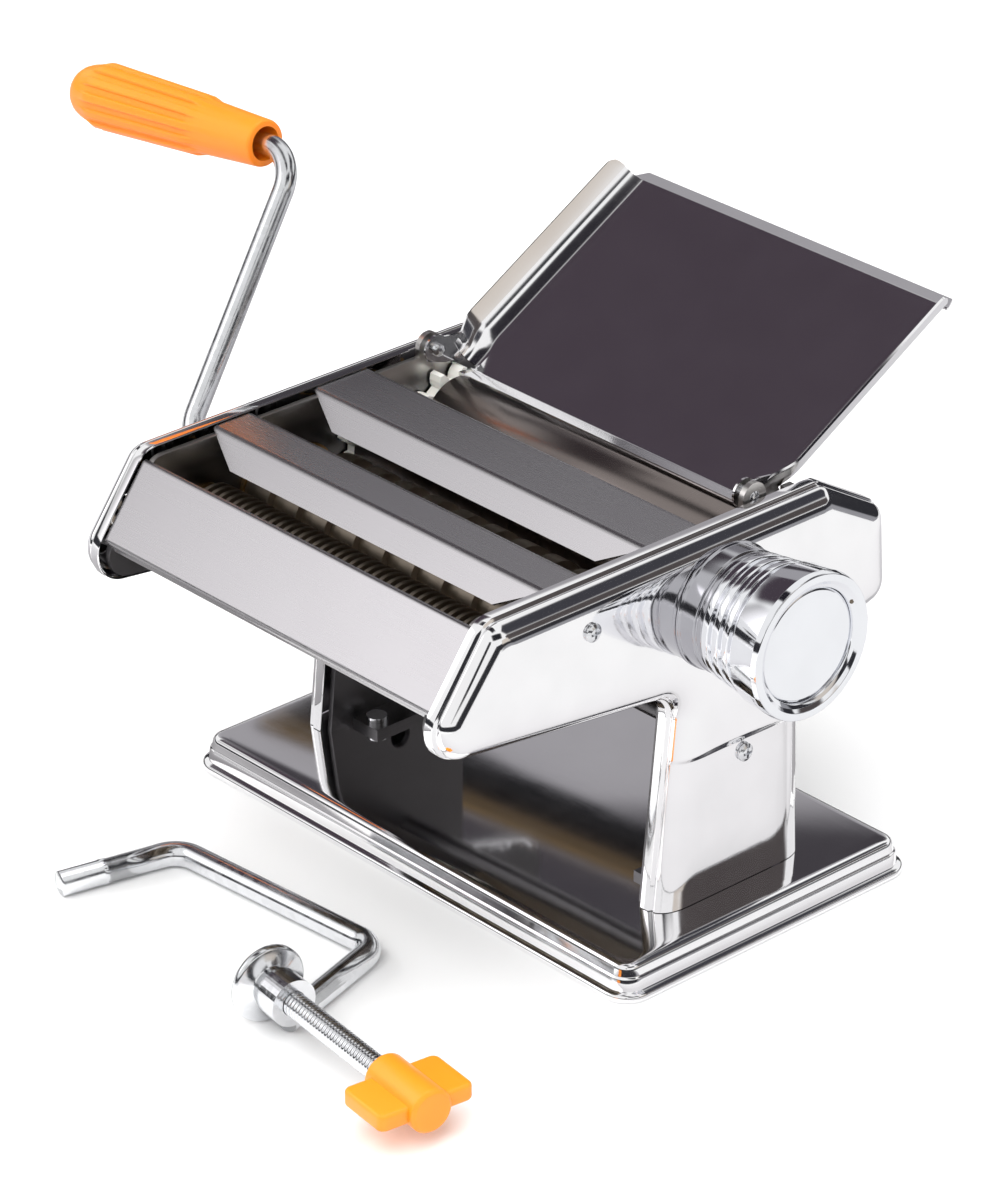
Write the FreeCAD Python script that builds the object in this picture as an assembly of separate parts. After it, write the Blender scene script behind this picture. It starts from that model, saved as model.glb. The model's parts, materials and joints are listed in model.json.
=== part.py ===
import FreeCAD, Part
import math
import os

V = FreeCAD.Vector
X_AXIS = V(1, 0, 0)
Z_AXIS = V(0, 0, 1)

# Clearances
RUN = 0.05
SEAT = 0.02
AIR = 0.4
HAIR = 0.2

# Base pan, levels are fraction of height and inset
BASE_MARGIN = 16.1
BASE_DEPTH = 124.5
BASE_HEIGHT = 11.5
BASE_CORNER = 9.0
BASE_SHEET = 1.0
BASE_LEVELS = (
    (0.0, 0.4), (0.07, 0.0), (0.2, 0.0), (0.27, 1.9),
    (0.62, 2.4), (0.66, 3.1), (0.91, 3.8), (1.0, 5.4),
)

# Stack of layers along the roller axis, measured from the middle
FRAME_IN = 72.0
FRAME_SHEET = 2.0
COVER_IN = 75.0
COVER_DEEP = 11.0
SHEET = 0.8
COVER_OUT = COVER_IN + COVER_DEEP
FRAME_OUT = FRAME_IN + FRAME_SHEET
BASE_LENGTH = 2 * (COVER_OUT + BASE_MARGIN)
PANEL_HALF = COVER_IN - 0.3

# Side cover outline in Y and Z with corner radii
HEAD_TOP = 134.8
HEAD_FRONT = -98.1
NOSE_Y = -126.5
NOSE_Z = 96.0
ARM_ROOT_Z = 83.8
PED_FRONT = -23.4
PED_FRONT_FOOT = -32.8
PED_REAR = 29.0
PED_REAR_FOOT = 32.2
PED_ROOT_Z = 78.5
HEAD_REAR = 66.0
HEAD_REAR_Z = 88.5
CHAMFER_TOP_Y = 38.0
CHAMFER_END_Y = 64.0
CHAMFER_END_Z = 119.5
PED_BELOW = -10.0
COVER_OUTLINE = (
    (HEAD_FRONT, HEAD_TOP, 9.0),
    (CHAMFER_TOP_Y, HEAD_TOP, 6.0),
    (CHAMFER_END_Y, CHAMFER_END_Z, 7.0),
    (HEAD_REAR, HEAD_REAR_Z, 9.0),
    (PED_REAR, PED_ROOT_Z, 8.0),
    (PED_REAR_FOOT, PED_BELOW, 1.0),
    (PED_FRONT_FOOT, PED_BELOW, 1.0),
    (PED_FRONT, ARM_ROOT_Z, 8.0),
    (NOSE_Y, NOSE_Z, 10.5),
)
# Cover section as fraction of depth and inset
COVER_LEVELS = ((0.0, 0.0), (0.3, 0.0), (0.37, 1.1), (0.72, 2.2), (0.9, 4.8), (1.0, 9.0))
STEP_Z = 61.2
STEP_DEEP = 1.3
FRAME_INSET = 2.4

# Sheet covers as Y and Z of the folds
PANEL_FOLDS = ((-96.2, 129.4), (-98.4, 132.4), (-115.8, 108.6), (-112.6, 106.6))
MIDDLE_FOLDS = ((-77.4, 126.0), (-70.9, 134.0), (-55.2, 134.0), (-54.4, 127.6))
REAR_FOLDS = ((-36.3, 126.0), (-29.9, 134.0), (-7.4, 134.0), (-6.6, 130.2))
END_NOTCH = 15.0

# Cutters
CUTTER_Z = 109.0
CUTTER_R = 10.4
CUTTER_BITE = 1.8
CUTTER_HALF = 70.6
SPAGHETTI_Y = -97.5
FETTUCCINE_Y = -55.2
SPAGHETTI_STRIP = 4.0
FETTUCCINE_STRIP = 8.0
STRIP_PLAY = 0.3
JOURNAL_R = 6.0
BUSH_WALL = 1.5
BUSH_FLANGE = 1.2
CUTTER_PITCH_R = CUTTER_R - CUTTER_BITE / 2
CUTTER_SPACING = 2 * CUTTER_PITCH_R
GROOVE_R = CUTTER_R - CUTTER_BITE - 0.7
CUTTERS = (SPAGHETTI_Y, SPAGHETTI_Y + CUTTER_SPACING, FETTUCCINE_Y, FETTUCCINE_Y + CUTTER_SPACING)
CUTTER_TEETH = 12
CUTTER_BACKLASH = 0.4
COMB_DEEP = 8.0
COMB_SHEET = 1.0
CUTTER_GEAR_WIDE = 5.5
CUTTER_GEAR_X = -COVER_IN - 0.6 - CUTTER_GEAR_WIDE

# Smooth rollers and regulator
ROLLER_R = 13.5
ROLLER_GAP = 0.25
ECCENTRICITY = 1.25
REG_Y = -8.0
REG_Z = 111.7
ROLLER_TEETH = 10
ROLLER_BACKLASH = 1.1
ROLLER_PHASE = -0.38
ROLLER_GEAR_WIDE = 5.0
ECCENTRIC_R = 5.5
NYLON_WALL = 2.4
FRONT_BORE = ECCENTRIC_R + NYLON_WALL + 2 * RUN
SPIGOT_R = FRONT_BORE + 1.6
REG_LEFT_R = 4.0
REG_RIGHT_R = ECCENTRIC_R + ECCENTRICITY + 0.2
CLOSED_SPACING = 2 * ROLLER_R + ROLLER_GAP
REAR_Y = REG_Y + CLOSED_SPACING + ECCENTRICITY
ECC_Y = REG_Y - ECCENTRICITY
ROLLER_GEAR_X = -FRAME_IN + 0.7
ROLLER_LEFT = ROLLER_GEAR_X + ROLLER_GEAR_WIDE + 0.6
ROLLER_RIGHT = FRAME_IN - BUSH_FLANGE - AIR
NYLON_LONG = 14.0
SCRAPER_LONG = 11.0
SCRAPER_SHEET = 0.8
SCRAPER_GAP = 0.5

# Crank sockets
SOCKET_R = 3.6
SOCKET_DEEP = 14.0
SLEEVE_END = -COVER_OUT - 0.4
SLEEVE_HOLE = JOURNAL_R + 0.8
SLOT_WIDE = 2.2
SLOT_DEEP = 3.0

# Knob and collar
COLLAR_R = 20.0
COLLAR_LONG = 10.4
COLLAR_WALL = 1.6
KNOB_LONG = 26.0
KNOB_REAR_R = 20.6
KNOB_FRONT_R = 23.7
KNOB_WALL = 2.4
KNOB_PULL = 6.0
STEM_R = 5.0
STEM_FLAT = 3.8
STEM_BORE = 8.0
CAP_R = 18.2
CAP_DISH = 2.2
KNOB_IN = COVER_OUT + 0.1 + COLLAR_LONG + AIR
KNOB_OUT = KNOB_IN + KNOB_LONG
WEB_X = KNOB_IN + 3.4
WEB_SHEET = 3.0
STEM_END = WEB_X + WEB_SHEET + KNOB_PULL + 4.0
INDEX_Y = 12.0
INDEX_R = 1.6

# Rods and screws
TIE_R = 3.5
TIE_TOP = (-62.0, 121.6)
TIE_LOW = (3.0, 57.2)
TIE_BACK = (46.0, 112.0)
SCREW_R = 1.9
SCREW_HEAD_R = 3.0
FOOT_LONG = 12.0
FOOT_SCREW_LONG = 7.0
FOOT_FRONT = -19.0
FOOT_REAR = 20.0
CLAMP_BORE_R = 4.2
CLAMP_BORE_Y = 1.0
CLAMP_BORE_Z = 22.0

# Dough tray in its own slope frame
TRAY_Y = 26.3
TRAY_Z = 126.4
TRAY_SLOPE = 29.8
TRAY_LONG = 87.0
TRAY_SIDE_GAP = 2.1
TRAY_HALF = FRAME_IN - TRAY_SIDE_GAP
TRAY_LIP = 5.0
TRAY_WING_OUT = 4.6
TRAY_WING_UP = 10.0
TRAY_WING_START = 6.8
PIVOT_Y = 15.7
PIVOT_Z = 135.0
PIVOT_R = 2.0
EAR_R = 4.8

# Crank
CRANK_ROD_R = 3.5
CRANK_ARM_X = -110.6
CRANK_ARM = 99.5
CRANK_LEAN = 30.0
CRANK_BEND = 12.0
GRIP_START = 15.0
GRIP_LONG = 90.0
GRIP_DROOP = 5.0
GRIP_MOUTH_R = 7.7
GRIP_FULL_R = 10.2
GRIP_BORE_MOUTH = 5.6
GRIP_FLUTES = 12

# Table clamp on the floor
CLAMP_ROD_R = 4.0
CLAMP_FLOOR = 0.2
CLAMP_CORNERS = ((-65.0, -145.0), (-56.0, -104.5), (29.5, -97.5), (43.0, -144.5))
CLAMP_BEND = 9.0
PAD_X = 35.2
PAD_Y = -144.1
PAD_R = 12.4
PAD_SHEET = 3.0
PAD_HUB = 3.4
CLAMP_YAW = -7.0
EYE_R = 7.6
EYE_LONG = 9.0
CLAMP_SCREW_R = 4.0
NUT_START = 60.0
NUT_LONG = 25.0
NUT_R = 7.2
WING_REACH = 16.5
WING_THICK = 5.6
WING_INSET = 2.4
SCREW_AXIS_Z = PAD_R + CLAMP_FLOOR


# Flat outlines with rounded corners
def inset_corners(corners, inset):
    count = len(corners)
    area = 0.0
    for i in range(count):
        a = corners[i - 1]
        b = corners[i]
        area += a[0] * b[1] - a[1] * b[0]
    turn = 1.0 if area > 0 else -1.0
    lines = []
    for i in range(count):
        a = corners[i]
        b = corners[(i + 1) % count]
        length = math.hypot(b[0] - a[0], b[1] - a[1])
        du = (b[0] - a[0]) / length
        dv = (b[1] - a[1]) / length
        lines.append((a[0] - dv * turn * inset, a[1] + du * turn * inset, du, dv))
    result = []
    for i in range(count):
        p = lines[i - 1]
        q = lines[i]
        cross = p[2] * q[3] - p[3] * q[2]
        t = ((q[0] - p[0]) * q[3] - (q[1] - p[1]) * q[2]) / cross
        radius = corners[i][2]
        grown = max(radius - inset, 0.5) if cross * turn > 0 else radius + inset
        result.append((p[0] + t * p[2], p[1] + t * p[3], grown))
    return result


def corner_points(before, corner, after):
    au = before[0] - corner[0]
    av = before[1] - corner[1]
    bu = after[0] - corner[0]
    bv = after[1] - corner[1]
    la = math.hypot(au, av)
    lb = math.hypot(bu, bv)
    au, av, bu, bv = au / la, av / la, bu / lb, bv / lb
    half = math.acos(max(-1.0, min(1.0, au * bu + av * bv))) / 2
    tangent = corner[2] / math.tan(half)
    mu = au + bu
    mv = av + bv
    lm = math.hypot(mu, mv)
    near = corner[2] / math.sin(half) - corner[2]
    start = (corner[0] + au * tangent, corner[1] + av * tangent)
    middle = (corner[0] + mu / lm * near, corner[1] + mv / lm * near)
    end = (corner[0] + bu * tangent, corner[1] + bv * tangent)
    return start, middle, end


def rounded_wire(corners, place):
    count = len(corners)
    arcs = []
    for i in range(count):
        arcs.append(corner_points(corners[i - 1], corners[i], corners[(i + 1) % count]))
    edges = []
    for i in range(count):
        start, middle, end = arcs[i]
        edges.append(Part.Arc(place(*start), place(*middle), place(*end)).toShape())
        follow = arcs[(i + 1) % count][0]
        edges.append(Part.makeLine(place(*end), place(*follow)))
    return Part.Wire(edges)


def at_x(x):
    return lambda u, v: V(x, u, v)


def at_z(z):
    return lambda u, v: V(u, v, z)


def drawn_shell(corners, levels, placer):
    wires = []
    for height, inset in levels:
        wires.append(rounded_wire(inset_corners(corners, inset), placer(height)))
    return Part.makeLoft(wires, True, True)


# Turned and rod shapes along X
def rod(x0, x1, radius, y, z):
    return Part.makeCylinder(radius, x1 - x0, V(x0, y, z), X_AXIS)


def ring(x0, x1, outer, inner, y, z):
    return rod(x0, x1, outer, y, z).cut(rod(x0 - 1, x1 + 1, inner, y, z))


def turned(profile, y, z):
    points = [V(x, y + r, z) for x, r in profile]
    points.append(points[0])
    return Part.Face(Part.makePolygon(points)).revolve(V(0, y, z), X_AXIS, 360)


def box(x0, x1, y0, y1, z0, z1):
    return Part.makeBox(x1 - x0, y1 - y0, z1 - z0, V(x0, y0, z0))


def slab(points, x0, x1):
    ring_points = [V(x0, y, z) for y, z in points]
    ring_points.append(ring_points[0])
    return Part.Face(Part.makePolygon(ring_points)).extrude(V(x1 - x0, 0, 0))


def mirrored(shape):
    return shape.mirror(V(0, 0, 0), X_AXIS)


def joined(shapes):
    first = shapes[0]
    rest = shapes[1:]
    return first.fuse(rest).removeSplitter() if rest else first


def together(shapes):
    return Part.makeCompound(shapes)


# Folded sheet from a line of folds, thickness to the right of travel
def folded_points(folds, thickness):
    normals = []
    for a, b in zip(folds[:-1], folds[1:]):
        length = math.hypot(b[0] - a[0], b[1] - a[1])
        normals.append(((b[1] - a[1]) / length, -(b[0] - a[0]) / length))
    inner = []
    for i, p in enumerate(folds):
        n0 = normals[max(i - 1, 0)]
        n1 = normals[min(i, len(normals) - 1)]
        scale = thickness / (1 + n0[0] * n1[0] + n0[1] * n1[1])
        inner.append((p[0] + (n0[0] + n1[0]) * scale, p[1] + (n0[1] + n1[1]) * scale))
    return list(folds) + inner[::-1]


# Involute spur gear with a round bore, first tooth at the given angle from +Y
def gear(x0, wide, teeth, pitch_r, tip, root, backlash, bore, y, z, turn):
    pressure = math.radians(25.0)
    base_r = pitch_r * math.cos(pressure)
    half = math.pi / (2 * teeth) - backlash / (4 * pitch_r)
    inv = math.tan(pressure) - pressure
    radii = [root]
    steps = 2
    low = max(root, base_r)
    for i in range(steps + 1):
        radius = low + (tip - low) * i / steps
        if radius > radii[-1] + 0.01:
            radii.append(radius)
    flank = []
    for radius in radii:
        angle = math.acos(min(1.0, base_r / radius))
        flank.append((radius, half + inv - (math.tan(angle) - angle)))
    points = []
    for k in range(teeth):
        middle = turn + 2 * math.pi * k / teeth
        for radius, spread in flank:
            points.append((radius, middle - spread))
        for radius, spread in reversed(flank):
            points.append((radius, middle + spread))
    outline = [V(x0, y + r * math.cos(a), z + r * math.sin(a)) for r, a in points]
    outline.append(outline[0])
    blank = Part.Face(Part.makePolygon(outline)).extrude(V(wide, 0, 0))
    return blank.cut(rod(x0 - 1, x0 + wide + 1, bore, y, z))


# Round bar along a bent line
def bent_bar(points, bend, radius):
    edges = []
    last = points[0]
    for before, corner, after in zip(points[:-2], points[1:-1], points[2:]):
        a = (before - corner).normalize()
        b = (after - corner).normalize()
        half = a.getAngle(b) / 2
        tangent = bend / math.tan(half)
        start = corner + a * tangent
        end = corner + b * tangent
        middle = corner + (a + b).normalize() * (bend / math.sin(half) - bend)
        edges.append(Part.makeLine(last, start))
        edges.append(Part.Arc(start, middle, end).toShape())
        last = end
    edges.append(Part.makeLine(last, points[-1]))
    path = Part.Wire(edges)
    heading = points[1] - points[0]
    section = Part.Wire([Part.makeCircle(radius, points[0], heading)])
    return path.makePipeShell([section], True, True)


# Housing
def base_plate():
    hx = BASE_LENGTH / 2
    hy = BASE_DEPTH / 2
    corners = [(hx, hy, BASE_CORNER), (-hx, hy, BASE_CORNER), (-hx, -hy, BASE_CORNER), (hx, -hy, BASE_CORNER)]
    outer = [(f * BASE_HEIGHT, i) for f, i in BASE_LEVELS]
    inner = [(f * BASE_HEIGHT - BASE_SHEET, i + BASE_SHEET) for f, i in BASE_LEVELS]
    pan = drawn_shell(corners, outer, at_z).cut(drawn_shell(corners, inner, at_z))
    for x, y in foot_screw_places():
        pan = pan.cut(Part.makeCylinder(SCREW_R + HAIR, 10, V(x, y, BASE_HEIGHT - 5), Z_AXIS))
    return pan


def foot_screw_places():
    x = FRAME_IN - FOOT_LONG / 2
    inner = 5.0
    rows = (FOOT_FRONT + inner, FOOT_REAR - inner)
    return [(sx * x, y) for sx in (-1, 1) for y in rows]


def cover_blank():
    outer = [(COVER_IN + f * COVER_DEEP, i) for f, i in COVER_LEVELS]
    inner = [(COVER_IN + f * COVER_DEEP - SHEET, i + SHEET) for f, i in COVER_LEVELS]
    skin = drawn_shell(COVER_OUTLINE, outer, at_x)
    hollow = drawn_shell(COVER_OUTLINE, inner, at_x)
    skin = skin.cut(step_cutter(0.0))
    hollow = hollow.cut(step_cutter(SHEET))
    shell = skin.cut(hollow)
    low = BASE_HEIGHT + HAIR
    shell = shell.cut(box(0, COVER_OUT + 20, -200, 200, PED_BELOW - 20, low))
    for y, z in (TIE_TOP, TIE_LOW):
        shell = shell.cut(rod(COVER_IN, COVER_OUT + 5, SCREW_R + HAIR, y, z))
    return shell


def step_cutter(inside):
    face = COVER_OUT - STEP_DEEP - inside
    top = STEP_Z + inside
    points = [V(face, -60, PED_BELOW - 30), V(face, -60, top)]
    points.append(V(face + STEP_DEEP + 1.0, -60, top + STEP_DEEP + 1.0))
    points.append(V(COVER_OUT + 20, -60, top + STEP_DEEP + 1.0))
    points.append(V(COVER_OUT + 20, -60, PED_BELOW - 30))
    points.append(points[0])
    return Part.Face(Part.makePolygon(points)).extrude(V(0, 120, 0))


def right_side_cover():
    return cover_blank().cut(rod(COVER_IN, COVER_OUT + 5, REG_RIGHT_R + 0.6, REG_Y, REG_Z))


def left_side_cover():
    shell = mirrored(cover_blank())
    for y, z in socket_places():
        shell = shell.cut(rod(-COVER_OUT - 5, -COVER_IN, SLEEVE_HOLE, y, z))
    return shell.cut(rod(-COVER_OUT - 5, -COVER_IN, CLAMP_BORE_R, CLAMP_BORE_Y, CLAMP_BORE_Z))


def socket_places():
    return [(SPAGHETTI_Y, CUTTER_Z), (FETTUCCINE_Y, CUTTER_Z), (REAR_Y, REG_Z)]


def frame_blank():
    wire = rounded_wire(inset_corners(COVER_OUTLINE, FRAME_INSET), at_x(FRAME_IN))
    plate = Part.Face(wire).extrude(V(FRAME_SHEET, 0, 0))
    ear = rod(FRAME_IN, FRAME_OUT, EAR_R, PIVOT_Y, PIVOT_Z)
    neck = box(FRAME_IN, FRAME_OUT, PIVOT_Y - EAR_R, PIVOT_Y + EAR_R, HEAD_TOP - 10, PIVOT_Z)
    foot = box(FRAME_IN - FOOT_LONG, FRAME_OUT, FOOT_FRONT, FOOT_REAR, BASE_HEIGHT, BASE_HEIGHT + FRAME_SHEET)
    rest_y, rest_top = tray_point(9.0, -SHEET - AIR)
    stop = box(FRAME_IN - 6, FRAME_IN + 0.5, rest_y, rest_y + 4.0, rest_top - 3.0, rest_top)
    plate = joined([plate, ear, neck, foot, stop])
    plate = plate.cut(box(0, COVER_OUT, -200, 200, PED_BELOW - 30, BASE_HEIGHT))
    for y in CUTTERS:
        plate = plate.cut(rod(0, COVER_OUT, JOURNAL_R + RUN + BUSH_WALL + SEAT, y, CUTTER_Z))
    plate = plate.cut(rod(0, COVER_OUT, JOURNAL_R + RUN + BUSH_WALL + SEAT, REAR_Y, REG_Z))
    for y, z in (TIE_TOP, TIE_LOW):
        plate = plate.cut(rod(0, COVER_OUT, SCREW_R + HAIR, y, z))
    plate = plate.cut(rod(0, COVER_OUT, TIE_R - 1 + SEAT, *TIE_BACK))
    plate = plate.cut(rod(FRAME_IN - 1, COVER_OUT, PIVOT_R + SEAT, PIVOT_Y, PIVOT_Z))
    for x, y in foot_screw_places():
        plate = plate.cut(Part.makeCylinder(SCREW_R + HAIR, 20, V(x, y, BASE_HEIGHT - 5), Z_AXIS))
    return plate


def left_frame_plate():
    plate = mirrored(frame_blank())
    plate = plate.cut(rod(-COVER_OUT, 0, REG_LEFT_R + RUN + BUSH_WALL + SEAT, REG_Y, REG_Z))
    return plate.cut(rod(-COVER_OUT, 0, CLAMP_BORE_R, CLAMP_BORE_Y, CLAMP_BORE_Z))


def right_frame_plate():
    return frame_blank().cut(rod(0, COVER_OUT, REG_RIGHT_R + RUN + BUSH_WALL + SEAT, REG_Y, REG_Z))


def clear_of_frames(sheet):
    outline = inset_corners(COVER_OUTLINE, FRAME_INSET - HAIR)
    for start in (-PANEL_HALF - 1, FRAME_IN - AIR):
        wire = rounded_wire(outline, at_x(start))
        sheet = sheet.cut(Part.Face(wire).extrude(V(PANEL_HALF + 1 - FRAME_IN + AIR, 0, 0)))
    return sheet


def front_panel():
    sheet = slab(folded_points(PANEL_FOLDS[::-1], SHEET), -PANEL_HALF, PANEL_HALF)
    return clear_of_frames(sheet)


def notched(folds):
    sheet = slab(folded_points(folds, SHEET), -PANEL_HALF, PANEL_HALF)
    low_y, low_z = folds[0]
    ridge_y, ridge_z = folds[1]
    for side in (-1, 1):
        end = side * (PANEL_HALF + 1)
        inner = side * (PANEL_HALF - END_NOTCH)
        points = [V(end, low_y - 3, ridge_z - SHEET), V(inner, low_y - 3, low_z - 2)]
        points.append(V(end, low_y - 3, low_z - 2))
        points.append(points[0])
        wedge = Part.Face(Part.makePolygon(points)).extrude(V(0, ridge_y - low_y + 3, 0))
        sheet = sheet.cut(wedge)
    return clear_of_frames(sheet)


def middle_cover():
    return notched(MIDDLE_FOLDS)


def rear_cover():
    return notched(REAR_FOLDS)


def tie_rods():
    bars = []
    for y, z in (TIE_TOP, TIE_LOW):
        bar = rod(-FRAME_IN, FRAME_IN, TIE_R, y, z)
        bar = bar.cut(rod(-FRAME_IN - 1, -FRAME_IN + 7, SCREW_R + SEAT, y, z))
        bars.append(bar.cut(rod(FRAME_IN - 7, FRAME_IN + 1, SCREW_R + SEAT, y, z)))
    y, z = TIE_BACK
    bars.append(joined([rod(-FRAME_IN, FRAME_IN, TIE_R, y, z), rod(-FRAME_OUT, FRAME_OUT, TIE_R - 1, y, z)]))
    return together(bars)


def cover_screws():
    screws = []
    for y, z in (TIE_TOP, TIE_LOW):
        face = COVER_OUT if z > STEP_Z else COVER_OUT - STEP_DEEP
        tip = FRAME_IN - 6
        profile = [(tip, 0), (tip, SCREW_R), (face, SCREW_R), (face, SCREW_HEAD_R)]
        profile += [(face + 0.9, SCREW_HEAD_R), (face + 1.7, SCREW_HEAD_R * 0.6), (face + 1.9, 0)]
        screw = turned(profile, y, z)
        screw = screw.cut(box(face + 1.1, face + 3, y - 0.4, y + 0.4, z - 4, z + 4))
        screws += [screw, mirrored(screw)]
    return together(screws)


def foot_screws():
    screws = []
    top = BASE_HEIGHT + FRAME_SHEET
    for x, y in foot_screw_places():
        shank = Part.makeCylinder(SCREW_R, FOOT_SCREW_LONG, V(x, y, top - FOOT_SCREW_LONG), Z_AXIS)
        head = Part.makeCylinder(SCREW_HEAD_R + 0.4, 1.8, V(x, y, top), Z_AXIS)
        screws.append(joined([shank, head]))
    return together(screws)


def flanged_bush(bore, y, z):
    inner = bore + RUN
    outer = inner + BUSH_WALL
    body = ring(FRAME_IN, FRAME_OUT, outer, inner, y, z)
    flange = ring(FRAME_IN - BUSH_FLANGE, FRAME_IN, outer + 1.2, inner, y, z)
    return joined([body, flange])


def roller_bushes():
    bush = flanged_bush(JOURNAL_R, REAR_Y, REG_Z)
    plain = ring(FRAME_IN, FRAME_OUT, JOURNAL_R + RUN + BUSH_WALL, JOURNAL_R + RUN, REAR_Y, REG_Z)
    return together([mirrored(plain), bush])


def regulator_bushes():
    left = ring(-FRAME_OUT, -FRAME_IN, REG_LEFT_R + RUN + BUSH_WALL, REG_LEFT_R + RUN, REG_Y, REG_Z)
    right = ring(FRAME_IN, FRAME_OUT, REG_RIGHT_R + RUN + BUSH_WALL, REG_RIGHT_R + RUN, REG_Y, REG_Z)
    return together([left, right])


def cutter_bushes():
    bushes = []
    for y in CUTTERS:
        bush = flanged_bush(JOURNAL_R, y, CUTTER_Z)
        bushes += [bush, mirrored(bush)]
    return together(bushes)


# Cutting rollers
def sleeve(y, z, start):
    body = rod(SLEEVE_END, start, JOURNAL_R, y, z)
    body = body.cut(rod(SLEEVE_END - 1, SLEEVE_END + SOCKET_DEEP, SOCKET_R, y, z))
    half = SLOT_WIDE / 2
    wide = JOURNAL_R + 1
    slot = box(SLEEVE_END - 1, SLEEVE_END + SLOT_DEEP, y - wide, y + wide, z - half, z + half)
    return body.cut(slot)


def cutter(profile, y, socket):
    stub = (FRAME_OUT + 1.4, JOURNAL_R)
    closed = [(-CUTTER_HALF, 0), (-CUTTER_HALF, profile[0][1])] + profile
    closed += [(CUTTER_HALF, profile[-1][1]), (CUTTER_HALF, JOURNAL_R), stub, (stub[0], 0)]
    body = turned(closed, y, CUTTER_Z)
    if socket:
        return joined([body, sleeve(y, CUTTER_Z, -CUTTER_HALF)])
    return joined([body, rod(CUTTER_GEAR_X - 0.8, -CUTTER_HALF, JOURNAL_R, y, CUTTER_Z)])


def disc_starts(strip, shift):
    pitch = 2 * (strip + STRIP_PLAY)
    count = int((2 * CUTTER_HALF - 2 - strip) / pitch)
    start = -(count + 0.5) * pitch / 2 + STRIP_PLAY / 2 + shift * pitch / 2
    return [start + i * pitch for i in range(count)]


def disc_profile(strip, shift):
    profile = []
    for x in disc_starts(strip, shift):
        profile.append((x, GROOVE_R))
        profile.append((x, CUTTER_R))
        profile.append((x + strip, CUTTER_R))
        profile.append((x + strip, GROOVE_R))
    return profile


def spaghetti_front_cutter():
    return cutter(disc_profile(SPAGHETTI_STRIP, 0), CUTTERS[0], True)


def spaghetti_rear_cutter():
    return cutter(disc_profile(SPAGHETTI_STRIP, 1), CUTTERS[1], False)


def fettuccine_front_cutter():
    return cutter(disc_profile(FETTUCCINE_STRIP, 0), CUTTERS[2], True)


def fettuccine_rear_cutter():
    return cutter(disc_profile(FETTUCCINE_STRIP, 1), CUTTERS[3], False)


def cutter_gear(index):
    module = 2 * CUTTER_PITCH_R / CUTTER_TEETH
    tip = CUTTER_PITCH_R + 0.85 * module
    root = CUTTER_PITCH_R - 1.1 * module
    turn = 0.0 if index % 2 == 0 else math.pi + math.pi / CUTTER_TEETH
    bore = JOURNAL_R + SEAT
    y = CUTTERS[index]
    return gear(CUTTER_GEAR_X, CUTTER_GEAR_WIDE, CUTTER_TEETH, CUTTER_PITCH_R, tip, root, CUTTER_BACKLASH,
                bore, y, CUTTER_Z, turn)


def spaghetti_front_gear():
    return cutter_gear(0)


def spaghetti_rear_gear():
    return cutter_gear(1)


def fettuccine_front_gear():
    return cutter_gear(2)


def fettuccine_rear_gear():
    return cutter_gear(3)


# Strip combs below the cutters, teeth reach into the grooves
def comb(y, side, strip, shift):
    reach = (GROOVE_R + 0.5) * math.sqrt(0.5)
    plane = y + side * reach
    tip_z = CUTTER_Z - reach - 0.6
    root_z = CUTTER_Z - math.sqrt(CUTTER_R ** 2 - (reach - 0.6) ** 2) - AIR
    low = root_z - COMB_DEEP
    gap = strip + 2 * STRIP_PLAY
    half = gap / 2 - AIR
    points = [(FRAME_IN, low), (FRAME_IN, root_z)]
    for start in disc_starts(strip, shift)[-2::-1]:
        x = start + strip + gap / 2
        points += [(x + half, root_z), (x + half, tip_z), (x - half, tip_z), (x - half, root_z)]
    points += [(-FRAME_IN, root_z), (-FRAME_IN, low)]
    outline = [V(x, plane - COMB_SHEET / 2, z) for x, z in points]
    outline.append(outline[0])
    return Part.Face(Part.makePolygon(outline)).extrude(V(0, COMB_SHEET, 0))


def spaghetti_combs():
    front = comb(CUTTERS[0], 1, SPAGHETTI_STRIP, 0)
    return together([front, comb(CUTTERS[1], -1, SPAGHETTI_STRIP, 1)])


def fettuccine_combs():
    front = comb(CUTTERS[2], 1, FETTUCCINE_STRIP, 0)
    return together([front, comb(CUTTERS[3], -1, FETTUCCINE_STRIP, 1)])


# Smooth rollers
def roller_gear_sizes():
    pitch_r = CLOSED_SPACING / 2
    module = 2 * pitch_r / ROLLER_TEETH
    return pitch_r, pitch_r + 0.74 * module, pitch_r - 0.95 * module


def rear_roller():
    right = FRAME_OUT + 1.4
    profile = [(ROLLER_LEFT, 0), (ROLLER_LEFT, ROLLER_R - 0.6), (ROLLER_LEFT + 0.6, ROLLER_R)]
    profile += [(ROLLER_RIGHT - 0.6, ROLLER_R), (ROLLER_RIGHT, ROLLER_R - 0.6), (ROLLER_RIGHT, JOURNAL_R)]
    profile += [(right, JOURNAL_R), (right, 0)]
    return joined([turned(profile, REAR_Y, REG_Z), sleeve(REAR_Y, REG_Z, ROLLER_LEFT)])


def rear_roller_gear():
    pitch_r, tip, root = roller_gear_sizes()
    return gear(ROLLER_GEAR_X, ROLLER_GEAR_WIDE, ROLLER_TEETH, pitch_r, tip, root, ROLLER_BACKLASH,
                JOURNAL_R + SEAT, REAR_Y, REG_Z, math.pi)


def front_roller():
    profile = [(ROLLER_GEAR_X, FRONT_BORE), (ROLLER_GEAR_X, SPIGOT_R), (ROLLER_LEFT, SPIGOT_R)]
    profile += [(ROLLER_LEFT, ROLLER_R - 0.6), (ROLLER_LEFT + 0.6, ROLLER_R), (ROLLER_RIGHT - 0.6, ROLLER_R)]
    profile += [(ROLLER_RIGHT, ROLLER_R - 0.6), (ROLLER_RIGHT, FRONT_BORE)]
    return turned(profile, ECC_Y, REG_Z)


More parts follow.
